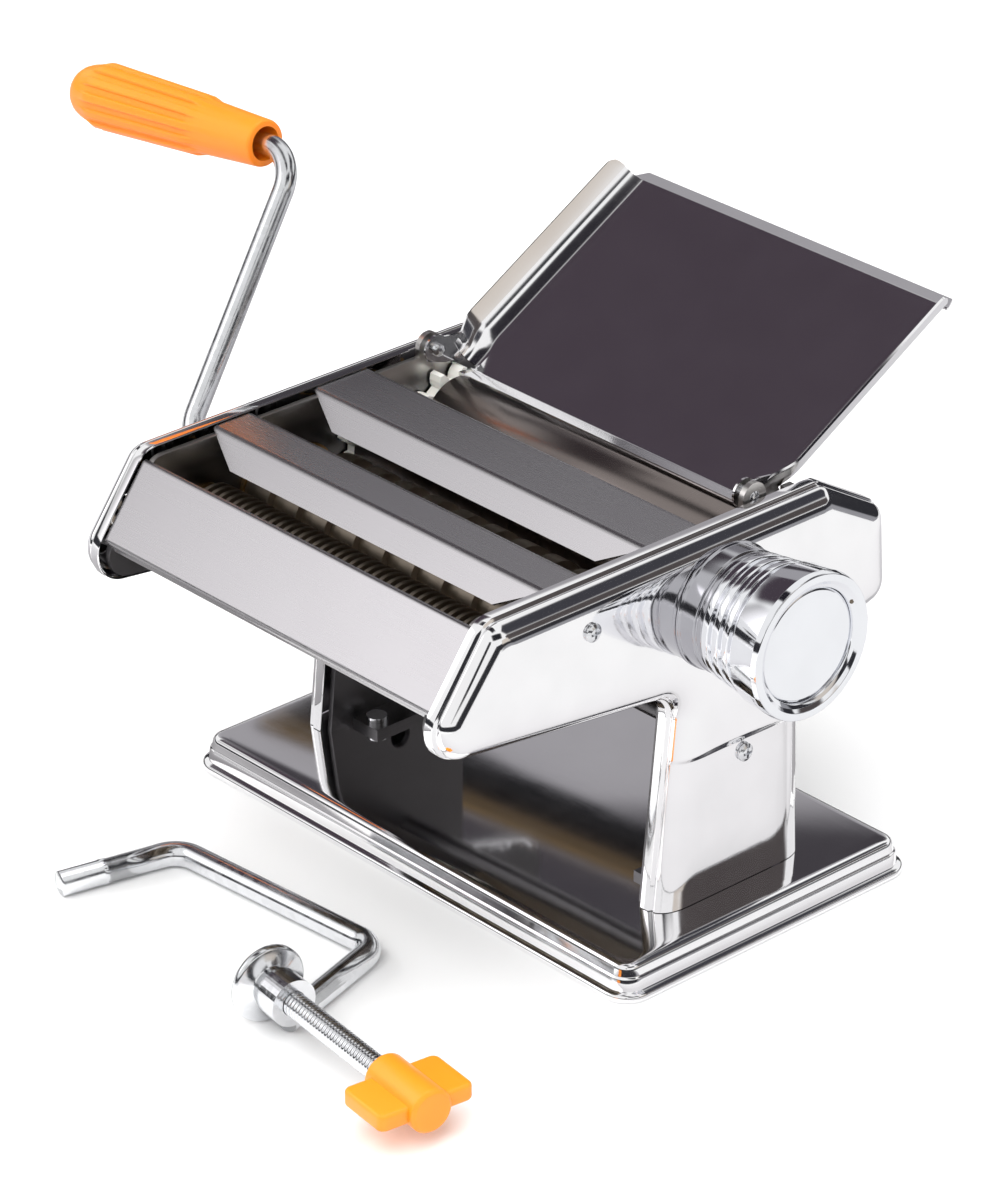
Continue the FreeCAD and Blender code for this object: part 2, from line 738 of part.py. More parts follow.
def front_roller_gear():
    pitch_r, tip, root = roller_gear_sizes()
    turn = math.pi / ROLLER_TEETH + ROLLER_PHASE / pitch_r
    return gear(ROLLER_GEAR_X, ROLLER_GEAR_WIDE, ROLLER_TEETH, pitch_r, tip, root, ROLLER_BACKLASH,
                SPIGOT_R + SEAT, ECC_Y, REG_Z, turn)


def front_roller_bushes():
    inner = ECCENTRIC_R + RUN
    outer = FRONT_BORE - RUN
    left = ring(ROLLER_GEAR_X, ROLLER_GEAR_X + NYLON_LONG, outer, inner, ECC_Y, REG_Z)
    right = ring(ROLLER_RIGHT - NYLON_LONG, ROLLER_RIGHT, outer, inner, ECC_Y, REG_Z)
    return together([left, right])


def regulator_shaft():
    left = rod(-FRAME_OUT - 0.4, -FRAME_IN + 0.3, REG_LEFT_R, REG_Y, REG_Z)
    middle = rod(-FRAME_IN + 0.3, FRAME_IN - 0.3, ECCENTRIC_R, ECC_Y, REG_Z)
    right = rod(FRAME_IN - 0.3, KNOB_IN - 2.0, REG_RIGHT_R, REG_Y, REG_Z)
    stem = rod(KNOB_IN - 2.0, STEM_END, STEM_R, REG_Y, REG_Z)
    stem = stem.cut(box(KNOB_IN - 2.0, STEM_END + 1, REG_Y - 20, REG_Y + 20, REG_Z + STEM_FLAT, REG_Z + 20))
    stem = stem.cut(rod(STEM_END - STEM_BORE, STEM_END + 1, SCREW_R + SEAT, REG_Y, REG_Z))
    return joined([left, middle, right, stem])


def roller_scrapers():
    blades = []
    tip = roller_gear_sizes()[1]
    for y, lean, extra in ((REAR_Y, 1, 0.0), (ECC_Y, -1, 2 * ECCENTRICITY)):
        angle = math.radians(-90 + lean * 35)
        out_y = math.cos(angle)
        out_z = math.sin(angle)
        start = ROLLER_R + SCRAPER_GAP + extra
        a = (y + out_y * start, REG_Z + out_z * start)
        b = (y + out_y * (start + SCRAPER_LONG), REG_Z + out_z * (start + SCRAPER_LONG))
        side = (-out_z * SCRAPER_SHEET / 2, out_y * SCRAPER_SHEET / 2)
        points = [a, (b[0] + side[0], b[1] + side[1]), (b[0] - side[0], b[1] - side[1])]
        blade = slab(points, -FRAME_IN, FRAME_IN)
        blades.append(blade.cut(rod(-FRAME_IN - 1, ROLLER_LEFT, tip + extra + AIR, y, REG_Z)))
    return together(blades)


# Regulator collar and knob
def regulator_collar():
    x0 = COVER_OUT + 0.1
    x1 = x0 + COLLAR_LONG
    inner = COLLAR_R - COLLAR_WALL
    profile = [(x0, REG_RIGHT_R + HAIR), (x0, COLLAR_R + 0.5)]
    profile += [(x0 + 1.2, COLLAR_R + 0.5), (x0 + 1.2, COLLAR_R)]
    profile += [(x1, COLLAR_R), (x1, inner), (x0 + 4.2, inner)]
    profile += [(x0 + 4.2, INDEX_Y + INDEX_R + AIR), (x0 + 2.2, INDEX_Y + INDEX_R + AIR)]
    profile += [(x0 + 2.2, INDEX_Y - INDEX_R - AIR), (x0 + 4.2, INDEX_Y - INDEX_R - AIR)]
    profile += [(x0 + 4.2, REG_RIGHT_R + HAIR)]
    return turned(profile, REG_Y, REG_Z)


def knob_flutes():
    span = KNOB_LONG * 0.54
    rings = 3
    step = span / rings
    points = []
    for i in range(rings):
        x = KNOB_IN + i * step
        radius = KNOB_REAR_R + 0.55 * i
        points.append((x, radius))
        points.append((x + step * 0.56, radius))
        points.append((x + step * 0.56, radius - 1.5))
        points.append((x + step, radius - 1.5))
    return points


def regulator_knob():
    front = KNOB_IN + KNOB_LONG * 0.54
    inner = KNOB_REAR_R - 1.5 - KNOB_WALL
    seat = KNOB_OUT - CAP_DISH - 1.6
    profile = [(KNOB_IN, inner)] + knob_flutes()
    profile += [(front, KNOB_FRONT_R), (KNOB_OUT - 1.2, KNOB_FRONT_R), (KNOB_OUT, KNOB_FRONT_R - 1.2)]
    profile += [(KNOB_OUT, CAP_R + 2.0), (KNOB_OUT - CAP_DISH, CAP_R + SEAT)]
    profile += [(seat, CAP_R + SEAT), (seat, CAP_R - 2.0), (WEB_X + WEB_SHEET, CAP_R - 2.0)]
    profile += [(WEB_X + WEB_SHEET, STEM_R + RUN), (WEB_X, STEM_R + RUN), (WEB_X, inner)]
    knob = turned(profile, REG_Y, REG_Z)
    flat = box(WEB_X, WEB_X + WEB_SHEET, REG_Y - 6, REG_Y + 6, REG_Z + STEM_FLAT + RUN, REG_Z + 8)
    knob = joined([knob, flat])
    return knob.cut(rod(WEB_X - 1, WEB_X + WEB_SHEET + 1, INDEX_R + SEAT, REG_Y, REG_Z - INDEX_Y))


def knob_cap():
    seat = KNOB_OUT - CAP_DISH - 1.6
    profile = [(seat + SEAT, 0), (seat + SEAT, CAP_R), (seat + 1.6, CAP_R), (seat + 1.6, 0)]
    return turned(profile, REG_Y, REG_Z)


def knob_index_pin():
    start = COVER_OUT + 0.1 + 2.2 + AIR
    return rod(start, WEB_X + WEB_SHEET, INDEX_R, REG_Y, REG_Z - INDEX_Y)


def knob_spring():
    return ring(WEB_X + WEB_SHEET, STEM_END, STEM_R + 2.6, STEM_R + 0.8, REG_Y, REG_Z)


def knob_screw():
    head = STEM_END + SEAT
    start = STEM_END - STEM_BORE + 1
    profile = [(start, 0), (start, SCREW_R), (head, SCREW_R), (head, STEM_R + 3.2)]
    profile += [(head + 1.2, STEM_R + 3.2), (head + 1.2, SCREW_HEAD_R)]
    profile += [(head + 2.4, SCREW_HEAD_R - 0.6), (head + 2.4, 0)]
    return turned(profile, REG_Y, REG_Z)


# Dough tray
def tray_point(along, up):
    slope = math.radians(TRAY_SLOPE)
    y = TRAY_Y + along * math.cos(slope) - up * math.sin(slope)
    z = TRAY_Z + along * math.sin(slope) + up * math.cos(slope)
    return y, z


def dough_tray():
    lip = (TRAY_Y - TRAY_LIP, TRAY_Z + 0.5)
    head = tray_point(TRAY_LONG, 0)
    back = (head[0] + 4.8, head[1] + 0.7)
    folds = [lip, (TRAY_Y, TRAY_Z), head, back]
    sheet = slab(folded_points(folds, SHEET), -TRAY_HALF, TRAY_HALF)
    wing_line = [(TRAY_HALF - SHEET, 0.0), (TRAY_HALF, 0.0)]
    wing_end = TRAY_HALF + TRAY_WING_OUT
    wing_line += [(wing_end, TRAY_WING_UP), (wing_end - SHEET, TRAY_WING_UP)]
    wing_line += [(TRAY_HALF - SHEET, SHEET)]
    slope = math.radians(TRAY_SLOPE)
    travel = V(0, math.cos(slope), math.sin(slope)) * (TRAY_LONG - TRAY_WING_START)
    points = []
    for x, up in wing_line:
        y, z = tray_point(TRAY_WING_START, up - SHEET)
        points.append(V(x, y, z))
    points.append(points[0])
    wing = Part.Face(Part.makePolygon(points)).extrude(travel)
    lug_end = TRAY_WING_START - AIR
    lug_points = [tray_point(-2.0, -SHEET), tray_point(lug_end, -SHEET), tray_point(lug_end, TRAY_WING_UP)]
    ear = EAR_R * 0.7
    lug_points += [(PIVOT_Y + ear, PIVOT_Z + ear), (PIVOT_Y - ear, PIVOT_Z - ear)]
    inner = TRAY_HALF - SHEET
    lug = joined([slab(lug_points, inner, TRAY_HALF), rod(inner, TRAY_HALF, EAR_R, PIVOT_Y, PIVOT_Z)])
    tray = joined([sheet, wing, lug, mirrored(wing), mirrored(lug)])
    tray = tray.cut(rod(-TRAY_HALF - 1, TRAY_HALF + 1, PIVOT_R + RUN, PIVOT_Y, PIVOT_Z))
    tip = roller_gear_sizes()[1]
    return tray.cut(rod(-TRAY_HALF - 1, ROLLER_LEFT + AIR, tip + AIR + 0.2, REAR_Y, REG_Z))


def tray_pins():
    pin = rod(TRAY_HALF - SHEET - 1.6, FRAME_OUT, PIVOT_R, PIVOT_Y, PIVOT_Z)
    return together([pin, mirrored(pin)])


# Crank
def crank_points():
    lean = math.radians(CRANK_LEAN)
    droop = math.radians(GRIP_DROOP)
    arm = V(0, math.sin(lean), math.cos(lean))
    start = V(SLEEVE_END + SOCKET_DEEP - 1.0, FETTUCCINE_Y, CUTTER_Z)
    elbow = V(CRANK_ARM_X, FETTUCCINE_Y, CUTTER_Z)
    top = elbow + arm * CRANK_ARM
    way = V(-math.cos(droop), 0, 0) - arm * math.sin(droop)
    return start, elbow, top, way


def crank_rod():
    start, elbow, top, way = crank_points()
    bar = bent_bar([start, elbow, top, top + way * (GRIP_START + GRIP_LONG * 0.82)], CRANK_BEND, CRANK_ROD_R)
    key_r = CRANK_ROD_R + 1.4
    half = SLOT_WIDE / 2 - RUN
    key = box(SLEEVE_END, SLEEVE_END + SLOT_DEEP - AIR, FETTUCCINE_Y - key_r, FETTUCCINE_Y + key_r,
              CUTTER_Z - half, CUTTER_Z + half)
    return joined([bar, key])


def along_grip(shape):
    start, elbow, top, way = crank_points()
    turn = FreeCAD.Rotation(X_AXIS, way)
    placed = shape.copy()
    placed.Placement = FreeCAD.Placement(top + way * GRIP_START, turn)
    return placed


def crank_grip():
    long = GRIP_LONG
    step = (GRIP_FULL_R - GRIP_MOUTH_R) / long
    bore = CRANK_ROD_R + RUN
    profile = [(0, GRIP_BORE_MOUTH), (0, GRIP_MOUTH_R - 0.5), (0.8, GRIP_MOUTH_R)]
    profile += [(long * 0.3, GRIP_MOUTH_R + step * long * 0.5)]
    profile += [(long * 0.84, GRIP_FULL_R), (long * 0.92, GRIP_FULL_R * 0.94)]
    profile += [(long * 0.975, GRIP_FULL_R * 0.7)]
    profile += [(long, GRIP_FULL_R * 0.3), (long, 0), (long * 0.86, 0), (long * 0.86, CRANK_ROD_R + 2.6)]
    profile += [(long * 0.76, CRANK_ROD_R + 2.6), (long * 0.76, bore), (12.0, bore), (10.0, GRIP_BORE_MOUTH)]
    body = turned(profile, 0, 0)
    flutes = []
    a = long * 0.32
    b = long * 0.86
    lift = math.atan2(GRIP_FULL_R - GRIP_MOUTH_R - step * long * 0.5, long * 0.54)
    for i in range(GRIP_FLUTES):
        bar = Part.makeCylinder(1.5, b - a, V(a, 0, 0), V(1, 0, 0))
        bar.rotate(V(a, 0, 0), V(0, -1, 0), math.degrees(lift))
        bar.translate(V(0, 0, GRIP_MOUTH_R + step * long * 0.5 - 0.5))
        bar.rotate(V(0, 0, 0), X_AXIS, 360.0 * i / GRIP_FLUTES)
        flutes.append(bar)
    return along_grip(joined([body] + flutes))


def grip_retainer():
    start = GRIP_LONG * 0.76 + AIR
    return along_grip(ring(start, start + 1.6, CRANK_ROD_R + 2.0, CRANK_ROD_R + SEAT, 0, 0))


# Table clamp
def clamp_frame(shape):
    placed = shape.copy()
    turn = FreeCAD.Rotation(Z_AXIS, CLAMP_YAW)
    placed.Placement = FreeCAD.Placement(V(PAD_X, PAD_Y, SCREW_AXIS_Z), turn)
    return placed


def clamp_rod():
    z = CLAMP_ROD_R + CLAMP_FLOOR
    points = [V(x, y, z) for x, y in CLAMP_CORNERS]
    bar = bent_bar(points, CLAMP_BEND, CLAMP_ROD_R)
    eye_start = PAD_HUB + AIR
    eye = clamp_frame(rod(eye_start, eye_start + EYE_LONG, EYE_R, 0, 0))
    tip = (points[0] - points[1]).normalize()
    collar_at = points[0] - tip * 16.0
    collar = Part.makeCylinder(CLAMP_ROD_R + 0.15, 2.4, collar_at, tip)
    hole = clamp_frame(rod(-20, 60, CLAMP_SCREW_R + RUN, 0, 0))
    return joined([bar, eye, collar]).cut(hole)


def clamp_pad():
    bore = CLAMP_SCREW_R + RUN
    profile = [(-PAD_SHEET, 0), (-PAD_SHEET, PAD_R - 1.4), (-PAD_SHEET + 0.8, PAD_R), (-0.8, PAD_R)]
    profile += [(0, PAD_R - 0.8), (0, bore + 2.4), (PAD_HUB, bore + 1.8), (PAD_HUB, bore)]
    profile += [(-1.2, bore), (-1.2, 0)]
    return clamp_frame(turned(profile, 0, 0))


def clamp_screw():
    profile = [(-1.0, 0), (-1.0, CLAMP_SCREW_R - 0.6), (-0.4, CLAMP_SCREW_R)]
    profile += [(NUT_START + NUT_LONG - 2, CLAMP_SCREW_R), (NUT_START + NUT_LONG - 2, 0)]
    return clamp_frame(turned(profile, 0, 0))


def clamp_wing_nut():
    x0 = NUT_START
    x1 = NUT_START + NUT_LONG
    profile = [(x0, 0), (x0, NUT_R - 0.8), (x0 + 0.8, NUT_R), (x1 - 1.4, NUT_R)]
    profile += [(x1, NUT_R - 1.6), (x1, 0)]
    hub = turned(profile, 0, 0)
    near = x0 + WING_INSET
    far = x1 - WING_INSET
    corners = [(near, -WING_REACH, 2.5), (far, -WING_REACH, 3.0)]
    corners += [(far, WING_REACH, 3.0), (near, WING_REACH, 2.5)]
    wire = rounded_wire(corners, at_z(-WING_THICK / 2))
    wings = Part.Face(wire).extrude(V(0, 0, WING_THICK))
    nut = joined([hub, wings]).cut(rod(x0 - 10, x1 - 2 + SEAT, CLAMP_SCREW_R + SEAT, 0, 0))
    return clamp_frame(nut)


NODES = (
    base_plate, left_frame_plate, right_frame_plate, left_side_cover, right_side_cover,
    front_panel, middle_cover, rear_cover, tie_rods, cover_screws, foot_screws,
    roller_bushes, regulator_bushes, cutter_bushes, spaghetti_combs, fettuccine_combs,
    roller_scrapers, regulator_collar, tray_pins,
    rear_roller, rear_roller_gear, front_roller, front_roller_gear, front_roller_bushes,
    regulator_shaft, regulator_knob, knob_cap, knob_index_pin, knob_spring, knob_screw,
    spaghetti_front_cutter, spaghetti_front_gear, spaghetti_rear_cutter, spaghetti_rear_gear,
    fettuccine_front_cutter, fettuccine_front_gear, fettuccine_rear_cutter, fettuccine_rear_gear,
    crank_rod, grip_retainer, crank_grip, dough_tray,
    clamp_rod, clamp_pad, clamp_screw, clamp_wing_nut,
)

os.makedirs("parts", exist_ok=True)
for make in NODES:
    shape = make()
    shape.exportStep("parts/" + make.__name__ + ".step")
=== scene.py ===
import json
import math

import bmesh
import bpy
from bpy.props import FloatProperty, FloatVectorProperty, IntProperty, PointerProperty
from mathutils import Matrix, Vector


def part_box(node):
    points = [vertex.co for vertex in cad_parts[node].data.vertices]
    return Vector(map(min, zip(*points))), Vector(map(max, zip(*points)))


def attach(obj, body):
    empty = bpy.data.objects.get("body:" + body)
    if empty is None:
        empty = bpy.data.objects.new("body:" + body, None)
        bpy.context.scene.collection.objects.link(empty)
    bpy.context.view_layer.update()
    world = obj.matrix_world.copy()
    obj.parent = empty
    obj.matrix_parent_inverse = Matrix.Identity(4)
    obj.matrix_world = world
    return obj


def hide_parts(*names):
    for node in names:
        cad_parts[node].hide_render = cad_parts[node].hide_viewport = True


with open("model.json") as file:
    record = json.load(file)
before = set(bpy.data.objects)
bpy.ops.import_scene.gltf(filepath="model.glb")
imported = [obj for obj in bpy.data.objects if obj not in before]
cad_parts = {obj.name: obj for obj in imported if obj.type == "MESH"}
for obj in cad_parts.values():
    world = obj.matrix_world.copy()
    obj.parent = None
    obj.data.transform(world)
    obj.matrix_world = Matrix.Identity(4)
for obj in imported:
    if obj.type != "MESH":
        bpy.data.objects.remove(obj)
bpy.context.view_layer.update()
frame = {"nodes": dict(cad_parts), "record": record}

bl_info = {
    "name": "Pasta Roller Machine",
    "version": (1, 0, 0),
    "blender": (4, 5, 0),
    "location": "View3D > Sidebar > Pasta Machine",
    "description": "Dresses the packed pasta machine with finished covers, rollers, crank and clamp",
    "category": "Object",
}

NODES = frame["nodes"]
MM = 0.001
# Points nearer than SEAM are one point, and points nearer than TOUCH to a cut lie on it
SEAM = 1e-6
TOUCH = 1e-7
# Heights between which the frames' painted highlight along the top edge begins
PAINTED_HIGHLIGHT_RISE = (0.124, 0.131)

# Side cover outline in millimetres, Y and Z with a corner radius
COVER_OUTLINE = (
    (-98.1, 134.8, 9.0), (38.0, 134.8, 6.0), (64.0, 119.5, 7.0), (66.0, 88.5, 9.0), (29.0, 78.5, 8.0),
    (32.2, -10.0, 1.0), (-32.8, -10.0, 1.0), (-23.4, 83.8, 8.0), (-126.5, 96.0, 10.5),
)
# Cover section, depth from the rim and inset
COVER_SECTION = (
    (0.0, 0.15), (0.15, 0.0), (3.1, 0.0), (3.4, 0.12), (3.65, 0.5), (3.85, 1.05), (4.05, 1.3), (4.3, 1.3),
    (4.5, 1.1),
    (4.8, 0.9), (5.3, 0.85), (6.0, 1.05), (6.8, 1.5), (7.6, 2.1), (8.4, 2.85), (9.1, 3.7), (9.7, 4.7),
    (10.2, 5.9),
    (10.55, 7.2), (10.78, 8.6), (10.92, 10.1), (10.98, 11.6), (11.0, 13.0),
)
COVER_IN = 75.0
COVER_OUT = 86.0
COVER_FOOT = 11.7
COVER_CROWN = 5.3
SOCKET_HOLE = 6.8
CLAMP_HOLES = ((1.0, 22.0),)
CLAMP_HOLE = 4.2
BASE_CORNER = 9.0
STEP_Z = 61.2
STEP_RISE = 1.0
STEP_SWELL = 2.5
STEP_FRONT = -25.0
STEP_LONG = 54.0
STEP_DEEP = 1.3
STEP_LEVELS = 10
STEP_LINES = 14
SHEET_HALF = 74.7
LIP_HALF = 71.5

# Folded sheets as Y and Z of their folds
PANEL_FOLDS = ((-112.6, 106.6), (-115.8, 108.6), (-98.4, 132.4), (-96.2, 129.4))
MIDDLE_FOLDS = ((-77.4, 126.0), (-70.9, 134.0), (-55.2, 134.0), (-54.4, 127.6))
REAR_FOLDS = ((-36.3, 126.0), (-29.9, 134.0), (-7.4, 134.0), (-6.6, 130.2))

# Roller and cutter axes as Y and Z
CUTTER_AXES = ((-97.5, 109.0), (-78.5, 109.0), (-55.2, 109.0), (-36.2, 109.0))
REGULATOR_AXIS = (-8.0, 111.7)
REAR_AXIS = (20.5, 111.7)
SOCKET_AXES = (CUTTER_AXES[0], CUTTER_AXES[2], REAR_AXIS)
# Comb teeth below a cutter: sideways reach, drop to tip and root, strip depth and half length
COMB_REACH = 5.94
COMB_TIP = 6.54
COMB_ROOT = 9.33
COMB_DEEP = 8.0
COMB_HALF = 71.9
# Tooth thickness and side air in metres, overlap with its strip and half the strip in millimetres
TOOTH_SHEET = 0.0009
TOOTH_AIR = 0.0008
TOOTH_SUNK = 0.5
STRIP_HALF = 0.5
# Room left at the ends of a cutter's face
END_ROOM = 0.002
# Faces round a cutter
TURNED_FACES = 56
# Cover screws as Y and Z, front arm then pedestal
SCREW_PLACES = ((-62.0, 121.6), (3.0, 57.2))

# Tray slope frame
TRAY_CREASE = (26.3, 126.4)
TRAY_SLOPE = math.radians(29.8)
TRAY_PIVOT = (15.7, 135.0)

# Crank and clamp lines
CRANK_TOP = Vector((-110.6, -5.45, 195.1695))
GRIP_WAY = Vector((-0.9961947, -0.0435779, -0.0754791))
GRIP_START = 15.0
GRIP_FACES = 192
CLAMP_SCREW_START = Vector((35.2, -144.1, 12.6))
CLAMP_YAW = math.radians(-7.0)
NUT_START = 60.0
NUT_END = 85.0
WING_REACH = 16.4
WING_INSET = 2.4
# Points along one turn of the thread
THREAD_STEPS = 6


# Sizes and colours that a user would change
class CoverSizes(bpy.types.PropertyGroup):
    sheet: FloatProperty(
        name="Sheet", description="Thickness of the pressed covers", default=0.0008, unit="LENGTH"
    )
    base_sheet: FloatProperty(
        name="Base sheet", description="Thickness of the base pan", default=0.001, unit="LENGTH"
    )
    fold: FloatProperty(
        name="Fold radius", description="Radius of the folded edges", default=0.0026, unit="LENGTH"
    )
    corner_steps: IntProperty(
        name="Corner steps", description="Segments in each rounded corner", default=10, min=3
    )
    notch: FloatProperty(
        name="End notch", description="Cut back of the feed faces", default=0.015, unit="LENGTH"
    )


class RollerSizes(bpy.types.PropertyGroup):
    disc_radius: FloatProperty(
        name="Disc radius", description="Outer radius of a cutter", default=0.0104, unit="LENGTH"
    )
    core_radius: FloatProperty(
        name="Core radius", description="Groove radius of a cutter", default=0.0079, unit="LENGTH"
    )
    thin_strip: FloatProperty(
        name="Thin strip", description="Width of a thin cut", default=0.0014, unit="LENGTH"
    )
    wide_strip: FloatProperty(
        name="Wide strip", description="Width of a wide cut", default=0.0064, unit="LENGTH"
    )
    play: FloatProperty(
        name="Play", description="Side gap between meshing discs", default=0.0003, unit="LENGTH"
    )
    face_half: FloatProperty(
        name="Half face", description="Half length of a cutter face", default=0.0706, unit="LENGTH"
    )


class HandleSizes(bpy.types.PropertyGroup):
    grip_length: FloatProperty(
        name="Grip", description="Length of the crank grip", default=0.090, unit="LENGTH"
    )
    grip_flutes: IntProperty(name="Flutes", description="Raised ribs round the grip", default=12, min=3)
    thread_lead: FloatProperty(
        name="Lead", description="Lead of the clamp thread", default=0.0015, unit="LENGTH"
    )
    wing_thickness: FloatProperty(
        name="Wing", description="Thickness of the nut's wings", default=0.0056, unit="LENGTH"
    )


class FinishColours(bpy.types.PropertyGroup):
    steel: FloatVectorProperty(
        name="Steel", description="Polished steel", subtype="COLOR", size=3, default=(0.92, 0.915, 0.925)
    )
    satin: FloatVectorProperty(
        name="Satin", description="Satin sheet", subtype="COLOR", size=3, default=(0.46, 0.45, 0.46)
    )
    zinc: FloatVectorProperty(
        name="Zinc", description="Zinc plate", subtype="COLOR", size=3, default=(0.80, 0.81, 0.83)
    )
    orange: FloatVectorProperty(
        name="Orange", description="Moulded grip", subtype="COLOR", size=3, default=(1.0, 0.245, 0.008)
    )
    floor: FloatVectorProperty(
        name="Floor", description="Studio floor", subtype="COLOR", size=3, default=(0.90, 0.90, 0.90)
    )


# Shader maths
class Value:
    def __init__(self, sheet, socket):
        self.sheet = sheet
        self.socket = socket

    def math(self, operation, other, swap=False):
        pair = (other, self) if swap else (self, other)
        return self.sheet.add("ShaderNodeMath", {"operation": operation}, {0: pair[0], 1: pair[1]})

    def __add__(self, other):
        return self.math("ADD", other)

    def __radd__(self, other):
        return self.math("ADD", other, True)

    def __sub__(self, other):
        return self.math("SUBTRACT", other)

    def __rsub__(self, other):
        return self.math("SUBTRACT", other, True)

    def __mul__(self, other):
        return self.math("MULTIPLY", other)

    def __rmul__(self, other):
        return self.math("MULTIPLY", other, True)


class Sheet:
    def __init__(self, name):
        self.material = bpy.data.materials.new(name)
        self.material.use_nodes = True
        self.tree = self.material.node_tree
        self.tree.nodes.clear()
        self.surface = self.tree.nodes.new("ShaderNodeBsdfPrincipled")
        end = self.tree.nodes.new("ShaderNodeOutputMaterial")
        self.tree.links.new(self.surface.outputs[0], end.inputs[0])
        self.place = self.add("ShaderNodeTexCoord", {}, {}, "Object")

    def add(self, kind, settings, inputs, output=0):
        node = self.tree.nodes.new(kind)
        for key, value in settings.items():
            if key == "stops":
                self.set_stops(node.color_ramp, value)
            else:
                setattr(node, key, value)
        for key, value in inputs.items():
            self.feed(node.inputs[key], value)
        return Value(self, node.outputs[output])

    def set_stops(self, ramp, stops):
        while len(ramp.elements) < len(stops):
            ramp.elements.new(1.0)
        for element, (position, colour) in zip(ramp.elements, stops):
            element.position = position
            element.color = (*colour, 1.0)

    def feed(self, socket, value):
        if isinstance(value, Value):
            self.tree.links.new(value.socket, socket)
        else:
            socket.default_value = value

    def finish(self, **inputs):
        for key, value in inputs.items():
            self.feed(self.surface.inputs[key.replace("_", " ")], value)
        return self.material

    def noise(self, scale, stretch=(1, 1, 1), detail=3.0):
        spot = self.add("ShaderNodeMapping", {}, {"Vector": self.place, "Scale": stretch})
        return self.add("ShaderNodeTexNoise", {}, {"Vector": spot, "Scale": scale, "Detail": detail}, "Fac")

    def blend(self, amount, dark, light):
        ends = [end if isinstance(end, Value) else (*end, 1) for end in (dark, light)]
        return self.add("ShaderNodeMix", {"data_type": "RGBA"}, {0: amount, 6: ends[0], 7: ends[1]}, 2)

    def ease(self, value, low, high):
        return self.add(
            "ShaderNodeMapRange", {"interpolation_type": "SMOOTHSTEP"}, {0: value, 1: low, 2: high}
        )

    def bump(self, height, strength, distance):
        return self.add("ShaderNodeBump", {}, {"Height": height, "Strength": strength, "Distance": distance})


def shade(colour, factor):
    return tuple(min(1.0, c * factor) for c in colour)


# Bright pressed sheet: faint waves from the press, fine haze
def polished_sheet(name, colour, roughness, wave):
    sheet = Sheet(name)
    haze = sheet.noise(60.0)
    smear = sheet.noise(900.0, (0.15, 1.0, 1.0))
    ripple = sheet.noise(26.0, detail=1.0)
    tone = sheet.blend(haze, shade(colour, 0.94), shade(colour, 1.05))
    rough = roughness + (haze - 0.5) * 0.05 + (smear - 0.5) * 0.03
    return sheet.finish(
        Base_Color=tone, Metallic=1.0, Roughness=rough, Normal=sheet.bump(ripple, wave, 0.002)
    )


# Satin sheet: brushing runs along the machine's width, with a painted highlight along the top edge if one is
# given
def satin_sheet(name, colour, roughness, stretch=(0.02, 1.0, 1.0), painted_highlight=None):
    sheet = Sheet(name)
    lines = sheet.noise(1600.0, stretch, 2.0)
    haze = sheet.noise(40.0)
    tone = sheet.blend(lines, shade(colour, 0.97), shade(colour, 1.03))
    if painted_highlight:
        height = sheet.add("ShaderNodeSeparateXYZ", {}, {"Vector": sheet.place}, 2)
        tone = sheet.blend(sheet.ease(height, *PAINTED_HIGHLIGHT_RISE), tone, painted_highlight)
    rough = roughness + (lines - 0.5) * 0.05 + (haze - 0.5) * 0.05
    return sheet.finish(
        Base_Color=tone, Metallic=1.0, Roughness=rough, Normal=sheet.bump(lines, 0.002, 0.0001)
    )


# Zinc plate: soft spangle and drawn lines
def zinc_plate(name, colour, roughness):
    sheet = Sheet(name)
    spangle = sheet.add(
        "ShaderNodeTexVoronoi", {"feature": "F1"}, {"Vector": sheet.place, "Scale": 420.0}, "Color"
    )
    grey = sheet.add("ShaderNodeSeparateColor", {}, {"Color": spangle}, 0)
    haze = sheet.noise(120.0)
    tone = sheet.blend(grey * 0.5 + haze * 0.5, shade(colour, 0.86), shade(colour, 1.06))
    rough = roughness + (grey - 0.5) * 0.1 + (haze - 0.5) * 0.12
    return sheet.finish(Base_Color=tone, Metallic=1.0, Roughness=rough, Normal=sheet.bump(haze, 0.08, 0.0004))


# Moulded plastic: slight flow marks and a fine satin grain
def moulded_plastic(name, colour, roughness, glow):
    sheet = Sheet(name)
    flow = sheet.noise(45.0, (0.3, 1.0, 1.0))
    grain = sheet.noise(2200.0)
    tone = sheet.blend(flow, shade(colour, 0.9), shade(colour, 1.06))
    rough = roughness + (flow - 0.5) * 0.12 + (grain - 0.5) * 0.1
    sheet.surface.inputs["Subsurface Weight"].default_value = glow
    sheet.surface.inputs["Subsurface Radius"].default_value = (0.006, 0.0025, 0.001)
    return sheet.finish(Base_Color=tone, Roughness=rough, Normal=sheet.bump(grain, 0.05, 0.0001))


def studio_floor(colour):
    sheet = Sheet("studio_floor")
    mottle = sheet.noise(3.0)
    tone = sheet.blend(mottle, shade(colour, 0.99), shade(colour, 1.01))
    return sheet.finish(Base_Color=tone, Roughness=0.45 + (mottle - 0.5) * 0.05)


# Strength of the white surround, and height of the floor cards above the floor
STUDIO = 0.95
CARD_LIFT = 0.0006
# Width of a card's faded edge
CARD_FADE = 0.16
HORIZON_FADE = 0.1
LIGHT_AIM = Vector((0, 0, 0.08))
# Camera as fitted to the photo
CAMERA_LENS = 159.77
CAMERA_TURN = math.radians(47.70)
CAMERA_RISE = math.radians(27.44)
CAMERA_PLACE = (1.0802, -1.00125, 0.8422)
